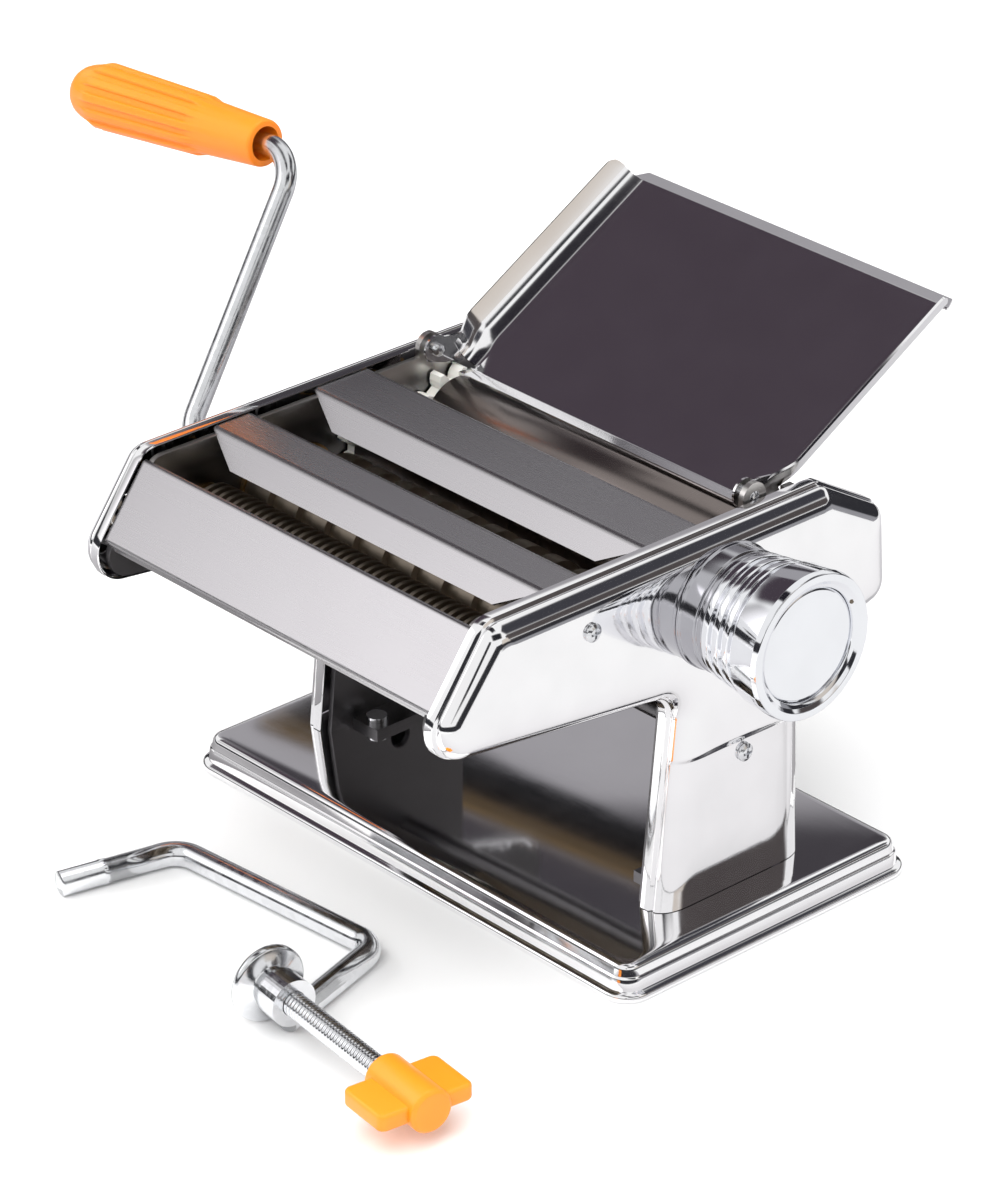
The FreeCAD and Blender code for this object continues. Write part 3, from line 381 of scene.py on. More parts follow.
# Floor as the covers mirror it: grey in the shade of the base, white farther out
RIGHT_BANDS = (
    (0.0, (0.70, 0.69, 0.70)), (0.0072, (0.88, 0.87, 0.88)), (0.03, (0.95, 0.94, 0.95)),
    (0.075, (1.0, 1.0, 1.0)),
)
LEFT_BANDS = (
    (0.0, (0.30, 0.29, 0.30)), (0.03, (0.46, 0.45, 0.46)), (0.10, (0.68, 0.67, 0.69)),
    (0.35, (0.92, 0.92, 0.93)),
)
REAR_BANDS = (
    (0.0, (0.40, 0.39, 0.40)), (0.08, (0.62, 0.61, 0.63)), (0.20, (0.78, 0.77, 0.79)),
    (0.50, (0.92, 0.92, 0.93)),
)
# Painted reflection: dark band with warm lines, which the top of the base mirrors
PAINTED_REFLECTION_BANDS = (
    (0.0, (0.26, 0.25, 0.27)), (0.08, (0.05, 0.035, 0.02)), (0.15, (0.20, 0.13, 0.06)),
    (0.22, (0.02, 0.016, 0.012)),
    (0.30, (0.13, 0.09, 0.05)), (0.38, (0.012, 0.011, 0.012)), (0.64, (0.006, 0.006, 0.007)),
    (0.66, (0.04, 0.04, 0.04)),
    (0.68, (0.006, 0.006, 0.007)), (0.94, (0.012, 0.012, 0.014)), (1.0, (0.26, 0.25, 0.27)),
)


def card_sheet(name):
    sheet = Sheet(name)
    spot = sheet.add("ShaderNodeUVMap", {}, {})
    return sheet, sheet.add("ShaderNodeSeparateXYZ", {}, {"Vector": spot}, 0)


def card_light(sheet, tone, alpha):
    sheet.surface.inputs["Emission Strength"].default_value = 1.0
    sheet.surface.inputs["Specular IOR Level"].default_value = 0.0
    return sheet.finish(Base_Color=(0, 0, 0, 1), Emission_Color=tone, Alpha=alpha)


# Reflected card: its own tone in the middle, fading away at its edges
def glow_card(name, left, right, edge):
    sheet, parts = card_sheet(name)
    rise = Value(sheet, parts.socket.node.outputs[1])
    across = sheet.ease(parts * (1.0 - parts), 0.0, edge)
    up = sheet.ease(rise * (1.0 - rise), 0.0, edge)
    return card_light(sheet, sheet.blend(parts, left, right), across * up)


# Reflected card in bands of tone
def banded_card(name, stops):
    sheet, out = card_sheet(name)
    tone = sheet.add("ShaderNodeValToRGB", {"stops": stops}, {"Fac": out})
    return card_light(sheet, tone, 1.0)


FINISHES = {}


def make_finishes(colours):
    steel = tuple(colours.steel)
    satin = tuple(colours.satin)
    zinc = tuple(colours.zinc)
    along = (1.0, 0.05, 0.05)
    plan = {
        polished_sheet: {
            "polished_steel": (steel, 0.07, 0.012), "tray_steel": (steel, 0.10, 0.006),
            "knob_chrome": ((0.86, 0.87, 0.90), 0.07, 0.014),
            # The collar's chrome is a shaded copy of the knob's, darkened as a painted reflection of dark
            # surroundings
            "collar_chrome": ((0.45, 0.45, 0.48), 0.12, 0.02),
        },
        satin_sheet: {
            # The rollers' dark warm tone is painted shade under the tray lip
            "satin_steel": (satin, 0.27), "roller_steel": ((0.22, 0.19, 0.18), 0.26, along),
            "cutter_steel": ((0.42, 0.36, 0.29), 0.42, along),
            # The frames' dark tone is painted shade of the machine's interior, and their light top edge is a
            # painted highlight
            "plain_steel": ((0.17, 0.165, 0.17), 0.30, (1.0, 0.03, 1.0), (0.66, 0.64, 0.62)),
        },
        zinc_plate: {
            # The crank's zinc is a darker shaded copy of the zinc plate, standing in for the crank's darker
            # reflections
            "zinc_plate": (zinc, 0.17), "crank_zinc": (shade(zinc, 0.94), 0.2),
            "bush_bronze": ((0.55, 0.36, 0.16), 0.34),
        },
        moulded_plastic: {
            "orange_plastic": (tuple(colours.orange), 0.34, 0.12),
            "amber_plastic": ((1.0, 0.30, 0.015), 0.34, 0.12),
            "white_nylon": ((0.80, 0.79, 0.74), 0.45, 0.1), "comb_plastic": ((0.10, 0.075, 0.05), 0.4, 0.0),
        },
    }
    for make, rows in plan.items():
        for name, values in rows.items():
            FINISHES[name] = make(name, *values)


def every_part(shape):
    return list(shape.verts) + list(shape.edges) + list(shape.faces)


def limited(share):
    return min(1.0, max(0.0, share))


# Mesh helpers, all in millimetres until the mesh is made
def mesh_of(name, points, faces, merge=True):
    mesh = bpy.data.meshes.new(name)
    mesh.from_pydata([Vector(p) * MM for p in points], [], faces)
    if merge:
        shape = bmesh.new()
        shape.from_mesh(mesh)
        bmesh.ops.remove_doubles(shape, verts=shape.verts, dist=SEAM)
        bmesh.ops.dissolve_degenerate(shape, edges=shape.edges, dist=TOUCH)
        bmesh.ops.recalc_face_normals(shape, faces=shape.faces)
        shape.to_mesh(mesh)
        shape.free()
    return mesh


def linked(name, data):
    item = bpy.data.objects.new(name, data)
    bpy.context.scene.collection.objects.link(item)
    return item


def add_piece(name, mesh, body, slot, nodes, crease=35.0, finish=None):
    piece = linked(name, mesh)
    mesh.materials.clear()
    mesh.materials.append(FINISHES[finish or slot])
    mesh.shade_smooth()
    mesh.set_sharp_from_angle(angle=math.radians(crease))
    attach(piece, body)
    if nodes:
        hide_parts(*nodes)
    return piece


def thicken(piece, thickness):
    wall = piece.modifiers.new("wall", "SOLIDIFY")
    wall.thickness = thickness
    wall.offset = -1.0
    wall.use_even_offset = True
    bake_modifiers(piece)
    sharpen(piece, 35.0)


def sharpen(piece, crease):
    piece.data.shade_smooth()
    piece.data.set_sharp_from_angle(angle=math.radians(crease))


def soften_edges(piece, width, segments, angle):
    edge = piece.modifiers.new("edges", "BEVEL")
    edge.width = width
    edge.segments = segments
    edge.limit_method = "ANGLE"
    edge.angle_limit = math.radians(angle)


def smooth_copy(name, node, body, slot, finish):
    mesh = NODES[node].data.copy()
    mesh.name = name
    shape = bmesh.new()
    shape.from_mesh(mesh)
    bmesh.ops.remove_doubles(shape, verts=shape.verts, dist=SEAM)
    shape.to_mesh(mesh)
    shape.free()
    return add_piece(name, mesh, body, slot, (node,), 30.0, finish)


# Corner rounding for flat lines
def arc_at(before, corner, after, radius, steps):
    a = Vector(before) - Vector(corner)
    b = Vector(after) - Vector(corner)
    reach = min(a.length, b.length) * 0.49
    a.normalize()
    b.normalize()
    half = a.angle(b) / 2
    if math.pi / 2 - half < 0.02 or radius <= 0:
        return [Vector(corner)]
    tangent = min(radius / math.tan(half), reach)
    radius = tangent * math.tan(half)
    middle = Vector(corner) + (a + b).normalized() * (radius / math.sin(half))
    start = Vector(corner) + a * tangent - middle
    end = Vector(corner) + b * tangent - middle
    sweep = start.angle(end)
    points = []
    for i in range(steps + 1):
        t = i / steps
        mix = (math.sin((1 - t) * sweep) * start + math.sin(t * sweep) * end) / math.sin(sweep)
        points.append(middle + mix)
    return points


def soft_line(points, radius, steps, closed):
    count = len(points)
    line = []
    for i, p in enumerate(points):
        if not closed and i in (0, count - 1):
            line.append(Vector(p))
        else:
            line += arc_at(points[i - 1], p, points[(i + 1) % count], radius, steps)
    return line


def folded_line(points, radius, steps=5):
    line = []
    for i, p in enumerate(points):
        if i in (0, len(points) - 1):
            line.append(Vector(p))
            continue
        arc = arc_at(points[i - 1], p, points[i + 1], radius, steps)
        before = (Vector(points[i - 1]) - arc[0]).normalized()
        after = (Vector(points[i + 1]) - arc[-1]).normalized()
        line += [arc[0] + before * 0.25] + arc + [arc[-1] + after * 0.25]
    return line


def inset_outline(corners, inset):
    count = len(corners)
    area = sum(corners[i - 1][0] * corners[i][1] - corners[i - 1][1] * corners[i][0] for i in range(count))
    turn = math.copysign(1.0, area)
    lines = []
    for i in range(count):
        a = Vector(corners[i][:2])
        way = (Vector(corners[(i + 1) % count][:2]) - a).normalized()
        lines.append((a + Vector((-way.y, way.x)) * turn * inset, way))
    result = []
    for i in range(count):
        p, d = lines[i - 1]
        q, e = lines[i]
        cross = d.x * e.y - d.y * e.x
        t = ((q.x - p.x) * e.y - (q.y - p.y) * e.x) / cross
        radius = corners[i][2]
        tight = max(radius - inset, min(radius + 2, 0.9 * inset + 0.4))
        result.append((p + d * t, tight if cross * turn > 0 else radius + inset))
    return result


def outline_ring(corners, inset, steps):
    spots = inset_outline(corners, inset)
    ring = []
    for i, (spot, radius) in enumerate(spots):
        after = spots[(i + 1) % len(spots)][0]
        ring += arc_at(spots[i - 1][0], spot, after, radius, steps)
    return ring


def ring_faces(count, size):
    faces = []
    for k in range(count - 1):
        for i in range(size):
            j = (i + 1) % size
            faces.append((k * size + i, k * size + j, (k + 1) * size + j, (k + 1) * size + i))
    return faces


def strip_faces(count):
    return [(2 * i, 2 * i + 1, 2 * i + 3, 2 * i + 2) for i in range(count - 1)]


def drawn_form(corners, section, steps, place):
    points = []
    rings = [outline_ring(corners, inset, steps) for depth, inset in section]
    size = len(rings[0])
    for (depth, inset), ring in zip(section, rings):
        points += [place(p.x, p.y, depth) for p in ring]
    faces = ring_faces(len(rings), size)
    last = (len(rings) - 1) * size
    faces.append(tuple(range(last, last + size)))
    return points, faces


# Turned forms about any axis
def turned(profile, origin, axis, segments, wave=None):
    way = Vector(axis).normalized()
    side = way.orthogonal().normalized()
    up = way.cross(side)
    points = []
    for along, radius in profile:
        for k in range(segments):
            angle = 2 * math.pi * k / segments
            r = radius + (wave(along, angle) if wave else 0.0)
            points.append(Vector(origin) + way * along + (side * math.cos(angle) + up * math.sin(angle)) * r)
    return points, ring_faces(len(profile), segments)


def turned_mesh(name, profile, origin, axis, segments, wave=None, closed=False):
    line = list(profile) + [profile[0]] if closed else list(profile)
    points, faces = turned(line, origin, axis, segments, wave)
    return mesh_of(name, points, faces)


def prism_faces(count):
    ends = [tuple(range(count)), tuple(range(count, 2 * count))]
    return ends + [(i, (i + 1) % count, count + (i + 1) % count, count + i) for i in range(count)]


def profile_line(points, radius, steps, closed=False):
    return [tuple(p) for p in soft_line(points, radius, steps, closed)]


def cut_away(piece, mesh):
    tool = linked("tool", mesh)
    cut = piece.modifiers.new("cut", "BOOLEAN")
    cut.operation = "DIFFERENCE"
    cut.solver = "EXACT"
    cut.object = tool
    bake_modifiers(piece)
    bpy.data.objects.remove(tool)


def cut_holes(piece, places, radius):
    depth = 40.0
    for y, z in places:
        points, faces = turned(
            [(0, 0), (0, radius), (depth, radius), (depth, 0)], (-100, y, z), (1, 0, 0), 48
        )
        cut_away(piece, mesh_of("hole", points, faces))


def bake_modifiers(piece):
    bpy.context.view_layer.update()
    shown = piece.evaluated_get(bpy.context.evaluated_depsgraph_get())
    mesh = bpy.data.meshes.new_from_object(shown)
    mesh.name = piece.name
    piece.modifiers.clear()
    piece.data = mesh


# Geometry node trees
class NodeTree:
    def __init__(self, name):
        self.tree = bpy.data.node_groups.new(name, "GeometryNodeTree")
        self.tree.interface.new_socket("Geometry", in_out="INPUT", socket_type="NodeSocketGeometry")
        self.tree.interface.new_socket("Geometry", in_out="OUTPUT", socket_type="NodeSocketGeometry")
        self.names = {}
        self.group_in = self.tree.nodes.new("NodeGroupInput")
        self.group_out = self.tree.nodes.new("NodeGroupOutput")

    def size(self, name, kind="NodeSocketFloat"):
        socket = self.tree.interface.new_socket(name, in_out="INPUT", socket_type=kind)
        self.names[name] = socket.identifier
        return self.group_in.outputs[name]

    def add(self, kind, settings=None, **links):
        node = self.tree.nodes.new(kind)
        for key, value in (settings or {}).items():
            setattr(node, key, value)
        for key, value in links.items():
            self.feed(node.inputs[key.replace("_", " ")], value)
        return node

    def feed(self, socket, value):
        if isinstance(value, bpy.types.NodeSocket):
            self.tree.links.new(value, socket)
        else:
            socket.default_value = value

    def finish(self, geometry, material):
        real = self.add("GeometryNodeRealizeInstances", None, Geometry=geometry)
        painted = self.add("GeometryNodeSetMaterial", None, Geometry=real.outputs[0], Material=material)
        self.tree.links.new(painted.outputs[0], self.group_out.inputs[0])

    def make(self, name, values):
        holder = linked(name, bpy.data.meshes.new(name))
        modifier = holder.modifiers.new(name, "NODES")
        modifier.node_group = self.tree
        for key, value in values.items():
            modifier[self.names[key]] = value
        bpy.context.view_layer.update()
        shown = holder.evaluated_get(bpy.context.evaluated_depsgraph_get())
        mesh = bpy.data.meshes.new_from_object(shown)
        bpy.data.objects.remove(holder)
        return mesh


# Items set in a row along X
class RowTree(NodeTree):
    def __init__(self, name):
        super().__init__(name)
        count = self.size("Count", "NodeSocketInt")
        step = self.add("ShaderNodeCombineXYZ", None, X=self.size("Pitch"))
        start = self.size("Start", "NodeSocketVector")
        self.line = self.add(
            "GeometryNodeMeshLine", None, Count=count, Start_Location=start, Offset=step.outputs[0]
        )

    def fill(self, item, material):
        spots = self.add("GeometryNodeInstanceOnPoints", None, Points=self.line.outputs[0], Instance=item)
        self.finish(spots.outputs[0], material)
        return self


def disc_stack_tree(material):
    tree = RowTree("disc_stack")
    sizes = {"Radius": tree.size("Radius"), "Depth": tree.size("Width")}
    disc = tree.add("GeometryNodeMeshCylinder", None, Vertices=TURNED_FACES, **sizes)
    turn = tree.add(
        "GeometryNodeTransform", None, Geometry=disc.outputs["Mesh"], Rotation=(0, math.pi / 2, 0)
    )
    return tree.fill(turn.outputs[0], material)


def comb_tree(material):
    tree = RowTree("comb_teeth")
    tooth = tree.add("GeometryNodeMeshCube", None, Size=tree.size("Size", "NodeSocketVector"))
    return tree.fill(tooth.outputs["Mesh"], material)


def screw_tree(material, head):
    tree = NodeTree("screw_heads")
    near = tree.size("Reach")
    low = tree.size("Low reach")
    spots = []
    for side in (-1, 1):
        for index, (y, z) in enumerate(SCREW_PLACES):
            reach = tree.add("ShaderNodeMath", {"operation": "MULTIPLY"})
            tree.feed(reach.inputs[0], low if index else near)
            reach.inputs[1].default_value = side
            place = tree.add("ShaderNodeCombineXYZ", None, X=reach.outputs[0], Y=y * MM, Z=z * MM)
            item = tree.add("GeometryNodeObjectInfo", None, Object=head)
            turn = (0, 0, 0) if side > 0 else (0, 0, math.pi)
            moved = tree.add("GeometryNodeTransform", None, Geometry=item.outputs["Geometry"], Rotation=turn)
            tree.feed(moved.inputs["Translation"], place.outputs[0])
            spots.append(moved.outputs[0])
    join = tree.add("GeometryNodeJoinGeometry")
    for spot in spots:
        tree.tree.links.new(spot, join.inputs[0])
    tree.finish(join.outputs[0], material)
    return tree


def joined_mesh(name, meshes):
    whole = bmesh.new()
    for mesh in meshes:
        whole.from_mesh(mesh)
    mesh = bpy.data.meshes.new(name)
    whole.to_mesh(mesh)
    whole.free()
    return mesh


# Finishes
class PASTA_OT_finishes(bpy.types.Operator):
    """Make the finishes and put them on the inner nodes"""
    bl_idname = "pasta.finishes"
    bl_label = "Finishes"

    def execute(self, context):
        make_finishes(context.scene.pasta_colours)
        for entry in frame["record"]["subparts"]:
            node = NODES[entry["node"]]
            node.data.materials.clear()
            node.data.materials.append(FINISHES[entry["material_slot"]])
        return {"FINISHED"}


# Covers
class PASTA_OT_side_covers(bpy.types.Operator):
    """Draw the two pressed side covers with their rim groove, crown and pedestal step"""
    bl_idname = "pasta.side_covers"
    bl_label = "Side covers"

    def execute(self, context):
        sizes = context.scene.pasta_covers
        for side, name in ((1, "right_side_cover"), (-1, "left_side_cover")):
            def place(y, z, depth):
                return Vector((side * (COVER_IN + depth), y, z))
            points, faces = drawn_form(COVER_OUTLINE, COVER_SECTION, sizes.corner_steps, place)
            mesh = mesh_of(name, points, faces)
            self.shape_pedestal(mesh, side)
            piece = add_piece(name + "_skin", mesh, "housing", "polished_steel", (name,), 28.0)
            thicken(piece, sizes.sheet)
            if side < 0:
                cut_holes(piece, SOCKET_AXES, SOCKET_HOLE)
                cut_holes(piece, CLAMP_HOLES, CLAMP_HOLE)
            sharpen(piece, 28.0)
        return {"FINISHED"}

    def slice(self, shape, geometry, spot, way, clear=False):
        bmesh.ops.bisect_plane(
            shape, geom=geometry, plane_co=spot, plane_no=way, clear_inner=clear, dist=TOUCH
        )

    def shape_pedestal(self, mesh, side):
        shape = bmesh.new()
        shape.from_mesh(mesh)
        top = STEP_Z + STEP_RISE + STEP_SWELL
        for k in range(STEP_LEVELS):
            height = STEP_Z + (top - STEP_Z) * k / (STEP_LEVELS - 1)
            self.slice(shape, every_part(shape), (0, 0, height * MM), (0, 0, 1))
        for k in range(STEP_LINES):
            band = [f for f in shape.faces if STEP_Z < f.calc_center_median().z / MM < top]
            geometry = band + list(
                {e for f in band for e in f.edges}
            ) + list({v for f in band for v in f.verts})
            spot = (0, (STEP_FRONT + STEP_LONG * (k + 0.5) / STEP_LINES) * MM, 0)
            self.slice(shape, geometry, spot, (0, 1, 0))
        self.slice(shape, every_part(shape), (0, 0, COVER_FOOT * MM), (0, 0, 1), True)
        for v in shape.verts:
            share = limited((v.co.y / MM - STEP_FRONT) / STEP_LONG)
            lens = STEP_RISE + STEP_SWELL * math.sin(math.pi * share ** 0.75)
            rise = limited((v.co.z / MM - STEP_Z) / lens)
            depth = limited(
                (abs(v.co.x) / MM - COVER_IN - COVER_CROWN) / (COVER_OUT - COVER_IN - COVER_CROWN)
            )
            v.co.x -= side * STEP_DEEP * depth * (1 - limited((rise - 0.07) / 0.86)) * MM
        bmesh.ops.recalc_face_normals(shape, faces=shape.faces)
        shape.to_mesh(mesh)
        shape.free()


class PASTA_OT_base_pan(bpy.types.Operator):
    """Draw the base pan with its rolled bead, waist and rounded shoulder"""
    bl_idname = "pasta.base_pan"
    bl_label = "Base pan"

    def execute(self, context):
        sizes = context.scene.pasta_covers
        low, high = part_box("base_plate")
        half_x = high.x / MM
        half_y = high.y / MM
        top = high.z / MM
        signs = ((1, 1), (-1, 1), (-1, -1), (1, -1))
        corners = [(x * half_x, y * half_y, BASE_CORNER) for x, y in signs]
        section = [
            (0.0, 0.45), (0.3, 0.15), (0.8, 0.0), (1.6, 0.0), (2.2, 0.2), (2.6, 0.7), (2.85, 1.5), (3.1, 1.95)
        ]
        section += [
            (4.0, 2.1), (6.9, 2.45), (7.1, 2.6), (7.3, 2.95), (7.6, 3.1), (9.6, 3.5), (10.3, 3.8), (10.9, 4.3)
        ]
        section += [(11.25, 4.95), (11.42, 5.7), (top, 6.6)]

        def place(x, y, height):
            return Vector((x, y, height))
        points, faces = drawn_form(corners, section, sizes.corner_steps, place)
        piece = add_piece(
            "base_pan", mesh_of("base_pan", points, faces), "housing", "polished_steel", ("base_plate",), 28.0
        )
        thicken(piece, sizes.base_sheet)
        return {"FINISHED"}


def sheet_mesh(name, line):
    points = []
    for y, z, half in line:
        points += [(-half, y, z), (half, y, z)]
    return mesh_of(name, points, strip_faces(len(line)), False)


class PASTA_OT_sheet_covers(bpy.types.Operator):
    """Fold the front panel and the two feed covers"""
    bl_idname = "pasta.sheet_covers"
    bl_label = "Sheet covers"

    def execute(self, context):
        sizes = context.scene.pasta_covers
        fold = sizes.fold / MM
        self.panel(sizes, fold)
        self.feed_cover(sizes, fold, "middle_cover", MIDDLE_FOLDS)
        self.feed_cover(sizes, fold, "rear_cover", REAR_FOLDS)
        return {"FINISHED"}

    def panel(self, sizes, fold):
        line = []
        soft = folded_line(PANEL_FOLDS, fold)
        for i, p in enumerate(soft):
            lip = i == 0 or i == len(soft) - 1
            line.append((p.x, p.y, LIP_HALF if lip else SHEET_HALF))
        line.insert(1, (line[1][0], line[1][1], LIP_HALF))
        line.insert(-1, (line[-2][0], line[-2][1], LIP_HALF))
        piece = add_piece(
            "front_panel_sheet", sheet_mesh("front_panel_sheet", line), "housing", "satin_steel",
            ("front_panel",)
        )
        thicken(piece, sizes.sheet)

    def feed_cover(self, sizes, fold, name, folds):
        line = []
        soft = folded_line(folds, fold)
        low_z = folds[0][1]
        rise = folds[1][1] - low_z - 0.6
        notch = sizes.notch / MM
        for i, p in enumerate(soft):
            cut = max(0.0, 1 - (p.y - low_z) / rise) if p.x < folds[1][0] else 0.0
            half = LIP_HALF if i == len(soft) - 1 else SHEET_HALF - notch * cut
            line.append((p.x, p.y, half))
        line.insert(-1, (line[-2][0], line[-2][1], LIP_HALF))
        piece = add_piece(
            name + "_sheet", sheet_mesh(name + "_sheet", line), "housing", "satin_steel", (name,)
        )
        thicken(piece, sizes.sheet)


class PASTA_OT_dough_tray(bpy.types.Operator):
    """Fold the dough tray with its side walls, lips and pivot lugs"""
    bl_idname = "pasta.dough_tray"
    bl_label = "Dough tray"

    half = 69.9
    length = 87.0
    lean = 4.5
    tall = 9.1
    # The lip, wall and lug stop short of the roller gear on the left
    gear_side = 65.0
    gear_gap = 1.6
    gear_corner = Vector((0, 24.6, 127.6))
    ear = 4.8
    lug_sheet = 0.8

    def spot(self, x, along, up):
        y = TRAY_CREASE[0] + along * math.cos(TRAY_SLOPE) - up * math.sin(TRAY_SLOPE)
        z = TRAY_CREASE[1] + along * math.sin(TRAY_SLOPE) + up * math.cos(TRAY_SLOPE)
        return Vector((x, y, z))

    def execute(self, context):
        sizes = context.scene.pasta_covers
        head = self.spot(0, self.length, 0)
        folds = [
            (TRAY_CREASE[0] - 5.0, TRAY_CREASE[1] + 0.5), TRAY_CREASE, (head.y, head.z),
            (head.y + 4.8, head.z + 0.7)
        ]
        line = []
        for p in folded_line(folds, 1.4, 6):
            along = (
                p.x - TRAY_CREASE[0]
            ) * math.cos(TRAY_SLOPE) + (p.y - TRAY_CREASE[1]) * math.sin(TRAY_SLOPE)
            line.append((p.x, p.y, self.half - max(0.0, along - self.length - 1.0) * 0.7))
            if 0.6 < along < self.length - 0.4:
                inner = self.spot(0, along + (0.02 if along < 10 else -0.02), 0)
                line.insert(len(line) if along < 10 else -1, (inner.y, inner.z, self.half - 5.9))
        points = []
        for y, z, half in line:
            left = min(half, self.gear_side) if y < TRAY_CREASE[0] + 1.0 else half
            points += [(-left, y, z), (half, y, z)]
        faces = strip_faces(len(line))
        self.walls(points, faces)
        piece = add_piece(
            "dough_tray_sheet", mesh_of("dough_tray_sheet", points, faces, False), "tray", "tray_steel",
            ("dough_tray",)
        )
        thicken(piece, sizes.sheet)
        lugs = [self.lug(side) for side in (-1, 1)]
        mesh = joined_mesh("dough_tray_sheet", [piece.data] + lugs)
        mesh.materials.append(FINISHES["tray_steel"])
        piece.data = mesh
        sharpen(piece, 35.0)
        return {"FINISHED"}

    def wall_rows(self):
        rows = []
        for along in (0.5, 3.0, 5.0, 7.0, 9.0, 11.0, 13.0, 15.0, 50.0, 83.0):
            ease = limited((along - 3.0) / 12.0)
            rows.append((along, self.lean * ease * ease * (3 - 2 * ease), 1.0))
        return rows + [
            (84.6, self.lean, 0.97), (85.8, self.lean, 0.88), (86.5, self.lean, 0.74), (86.9, self.lean, 0.55)
        ]

    def walls(self, points, faces):
        rows = self.wall_rows()
        corner = Vector((self.half - 0.9, 0.0))
        flat = Vector((13.0, 0.0))
        for side in (-1, 1):
            first = len(points)
            for along, out, share in rows:
                along = max(along, self.gear_gap) if side < 0 else along
                top = corner + Vector((out, self.tall)) * share
                rise = corner + Vector((out, self.tall)) * 1.4
                line = arc_at(corner - flat, corner, rise, 8.0, 10) + [top]
                points += [self.spot(side * p.x, along, p.y) for p in line]
            across = len(line)
            for r in range(len(rows) - 1):
                for k in range(across - 1):
                    n = first + r * across + k
                    quad = (n, n + 1, n + across + 1, n + across)
                    faces.append(quad if side > 0 else quad[::-1])

    def lug(self, side):
        y, z = TRAY_PIVOT
        angles = [math.radians(45 + 15 * k) for k in range(13)]
        arc = [(y + self.ear * math.cos(a), z + self.ear * math.sin(a)) for a in angles]
        near = self.spot(0, -2.0, -0.4) if side > 0 else self.gear_corner
        far = self.spot(0, 6.0, -0.4)
        high = self.spot(0, 6.0, self.tall)
        outline = arc + [(near.y, near.z), (far.y, far.z), (high.y, high.z)]
        points = []
        for x in (self.half - self.lug_sheet, self.half):
            points += [(side * x, p, q) for p, q in outline]
        return mesh_of("lug", points, prism_faces(len(outline)))


# Rollers
class PASTA_OT_cutters(bpy.types.Operator):
    """Stack the cutter discs on their shafts, with the combs below"""
    bl_idname = "pasta.cutters"
    bl_label = "Cutters"

    def execute(self, context):
        sizes = context.scene.pasta_rollers
        tree = disc_stack_tree(FINISHES["cutter_steel"])
        plan = (
            ("spaghetti_front_cutter", "spaghetti_front", CUTTER_AXES[0], sizes.thin_strip, 0, True),
            ("spaghetti_rear_cutter", "spaghetti_rear", CUTTER_AXES[1], sizes.thin_strip, 1, False),
            ("fettuccine_front_cutter", "crank", CUTTER_AXES[2], sizes.wide_strip, 0, True),
            ("fettuccine_rear_cutter", "fettuccine_rear", CUTTER_AXES[3], sizes.wide_strip, 1, False),
        )
        for node, body, (y, z), strip, shift, socket in plan:
            pitch, count, first = self.row(sizes, strip, shift)
            values = {"Count": count, "Pitch": pitch, "Start": (first, y * MM, z * MM)}
            values.update({"Radius": sizes.disc_radius, "Width": strip})
            discs = tree.make(node, values)
            shaft = self.shaft(node, sizes, y, z, socket)
            mesh = joined_mesh(node + "_stack", [discs, shaft])
            add_piece(node + "_stack", mesh, body, "roller_steel", (node,), 30.0, "cutter_steel")
        self.combs(sizes)
        return {"FINISHED"}

    def row(self, sizes, strip, shift):
        pitch = 2 * (strip + sizes.play)
        count = int((2 * sizes.face_half - END_ROOM - strip) / pitch)
        first = -(count + 0.5) * pitch / 2 + sizes.play / 2 + shift * pitch / 2 + strip / 2
        return pitch, count, first

    def combs(self, sizes):
        """Teeth between the discs, on a strip below each cutter"""
        tree = comb_tree(FINISHES["comb_plastic"])
        plan = (
            ("spaghetti_combs", CUTTER_AXES[:2], sizes.thin_strip),
            ("fettuccine_combs", CUTTER_AXES[2:], sizes.wide_strip),
        )
        for node, axes, strip in plan:
            meshes = []
            for shift, (y, z) in enumerate(axes):
                pitch, count, first = self.row(sizes, strip, shift)
                plane = y + (-COMB_REACH if shift else COMB_REACH)
                low = z - COMB_ROOT - COMB_DEEP
                top = z - COMB_TIP
                bottom = z - COMB_ROOT - TOOTH_SUNK
                spot = (first + pitch / 2, plane * MM, (top + bottom) / 2 * MM)
                size = (strip + 2 * sizes.play - TOOTH_AIR, TOOTH_SHEET, (top - bottom) * MM)
                meshes.append(
                    tree.make(node, {"Count": count - 1, "Pitch": pitch, "Start": spot, "Size": size})
                )
                high = low + COMB_DEEP
                edge = [(-COMB_HALF, low), (COMB_HALF, low), (COMB_HALF, high), (-COMB_HALF, high)]
                points = [(x, plane + half, h) for half in (-STRIP_HALF, STRIP_HALF) for x, h in edge]
                meshes.append(mesh_of(node + "_strip", points, prism_faces(4)))
            add_piece(
                node + "_fine", joined_mesh(node + "_fine", meshes), "housing", "comb_plastic", (node,), 30.0
            )

    def shaft(self, node, sizes, y, z, socket):
        low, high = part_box(node)
        left = low.x / MM
        right = high.x / MM
        half = sizes.face_half / MM
        core = sizes.core_radius / MM
        if socket:
            line = [
                (left + 14.0, 0.0), (left + 14.0, 3.6), (left + 0.4, 3.6), (left, 4.0), (left, 5.6),
                (left + 0.4, 6.0)
            ]
        else:
            line = [(left, 0.0), (left, 5.5), (left + 0.5, 6.0)]
        line += [
            (-half, 6.0), (-half, core), (half, core), (half, 6.0), (right - 0.5, 6.0), (right, 5.5),
            (right, 0.0)
        ]
        return turned_mesh(node + "_shaft", line, (0, y, z), (1, 0, 0), TURNED_FACES)


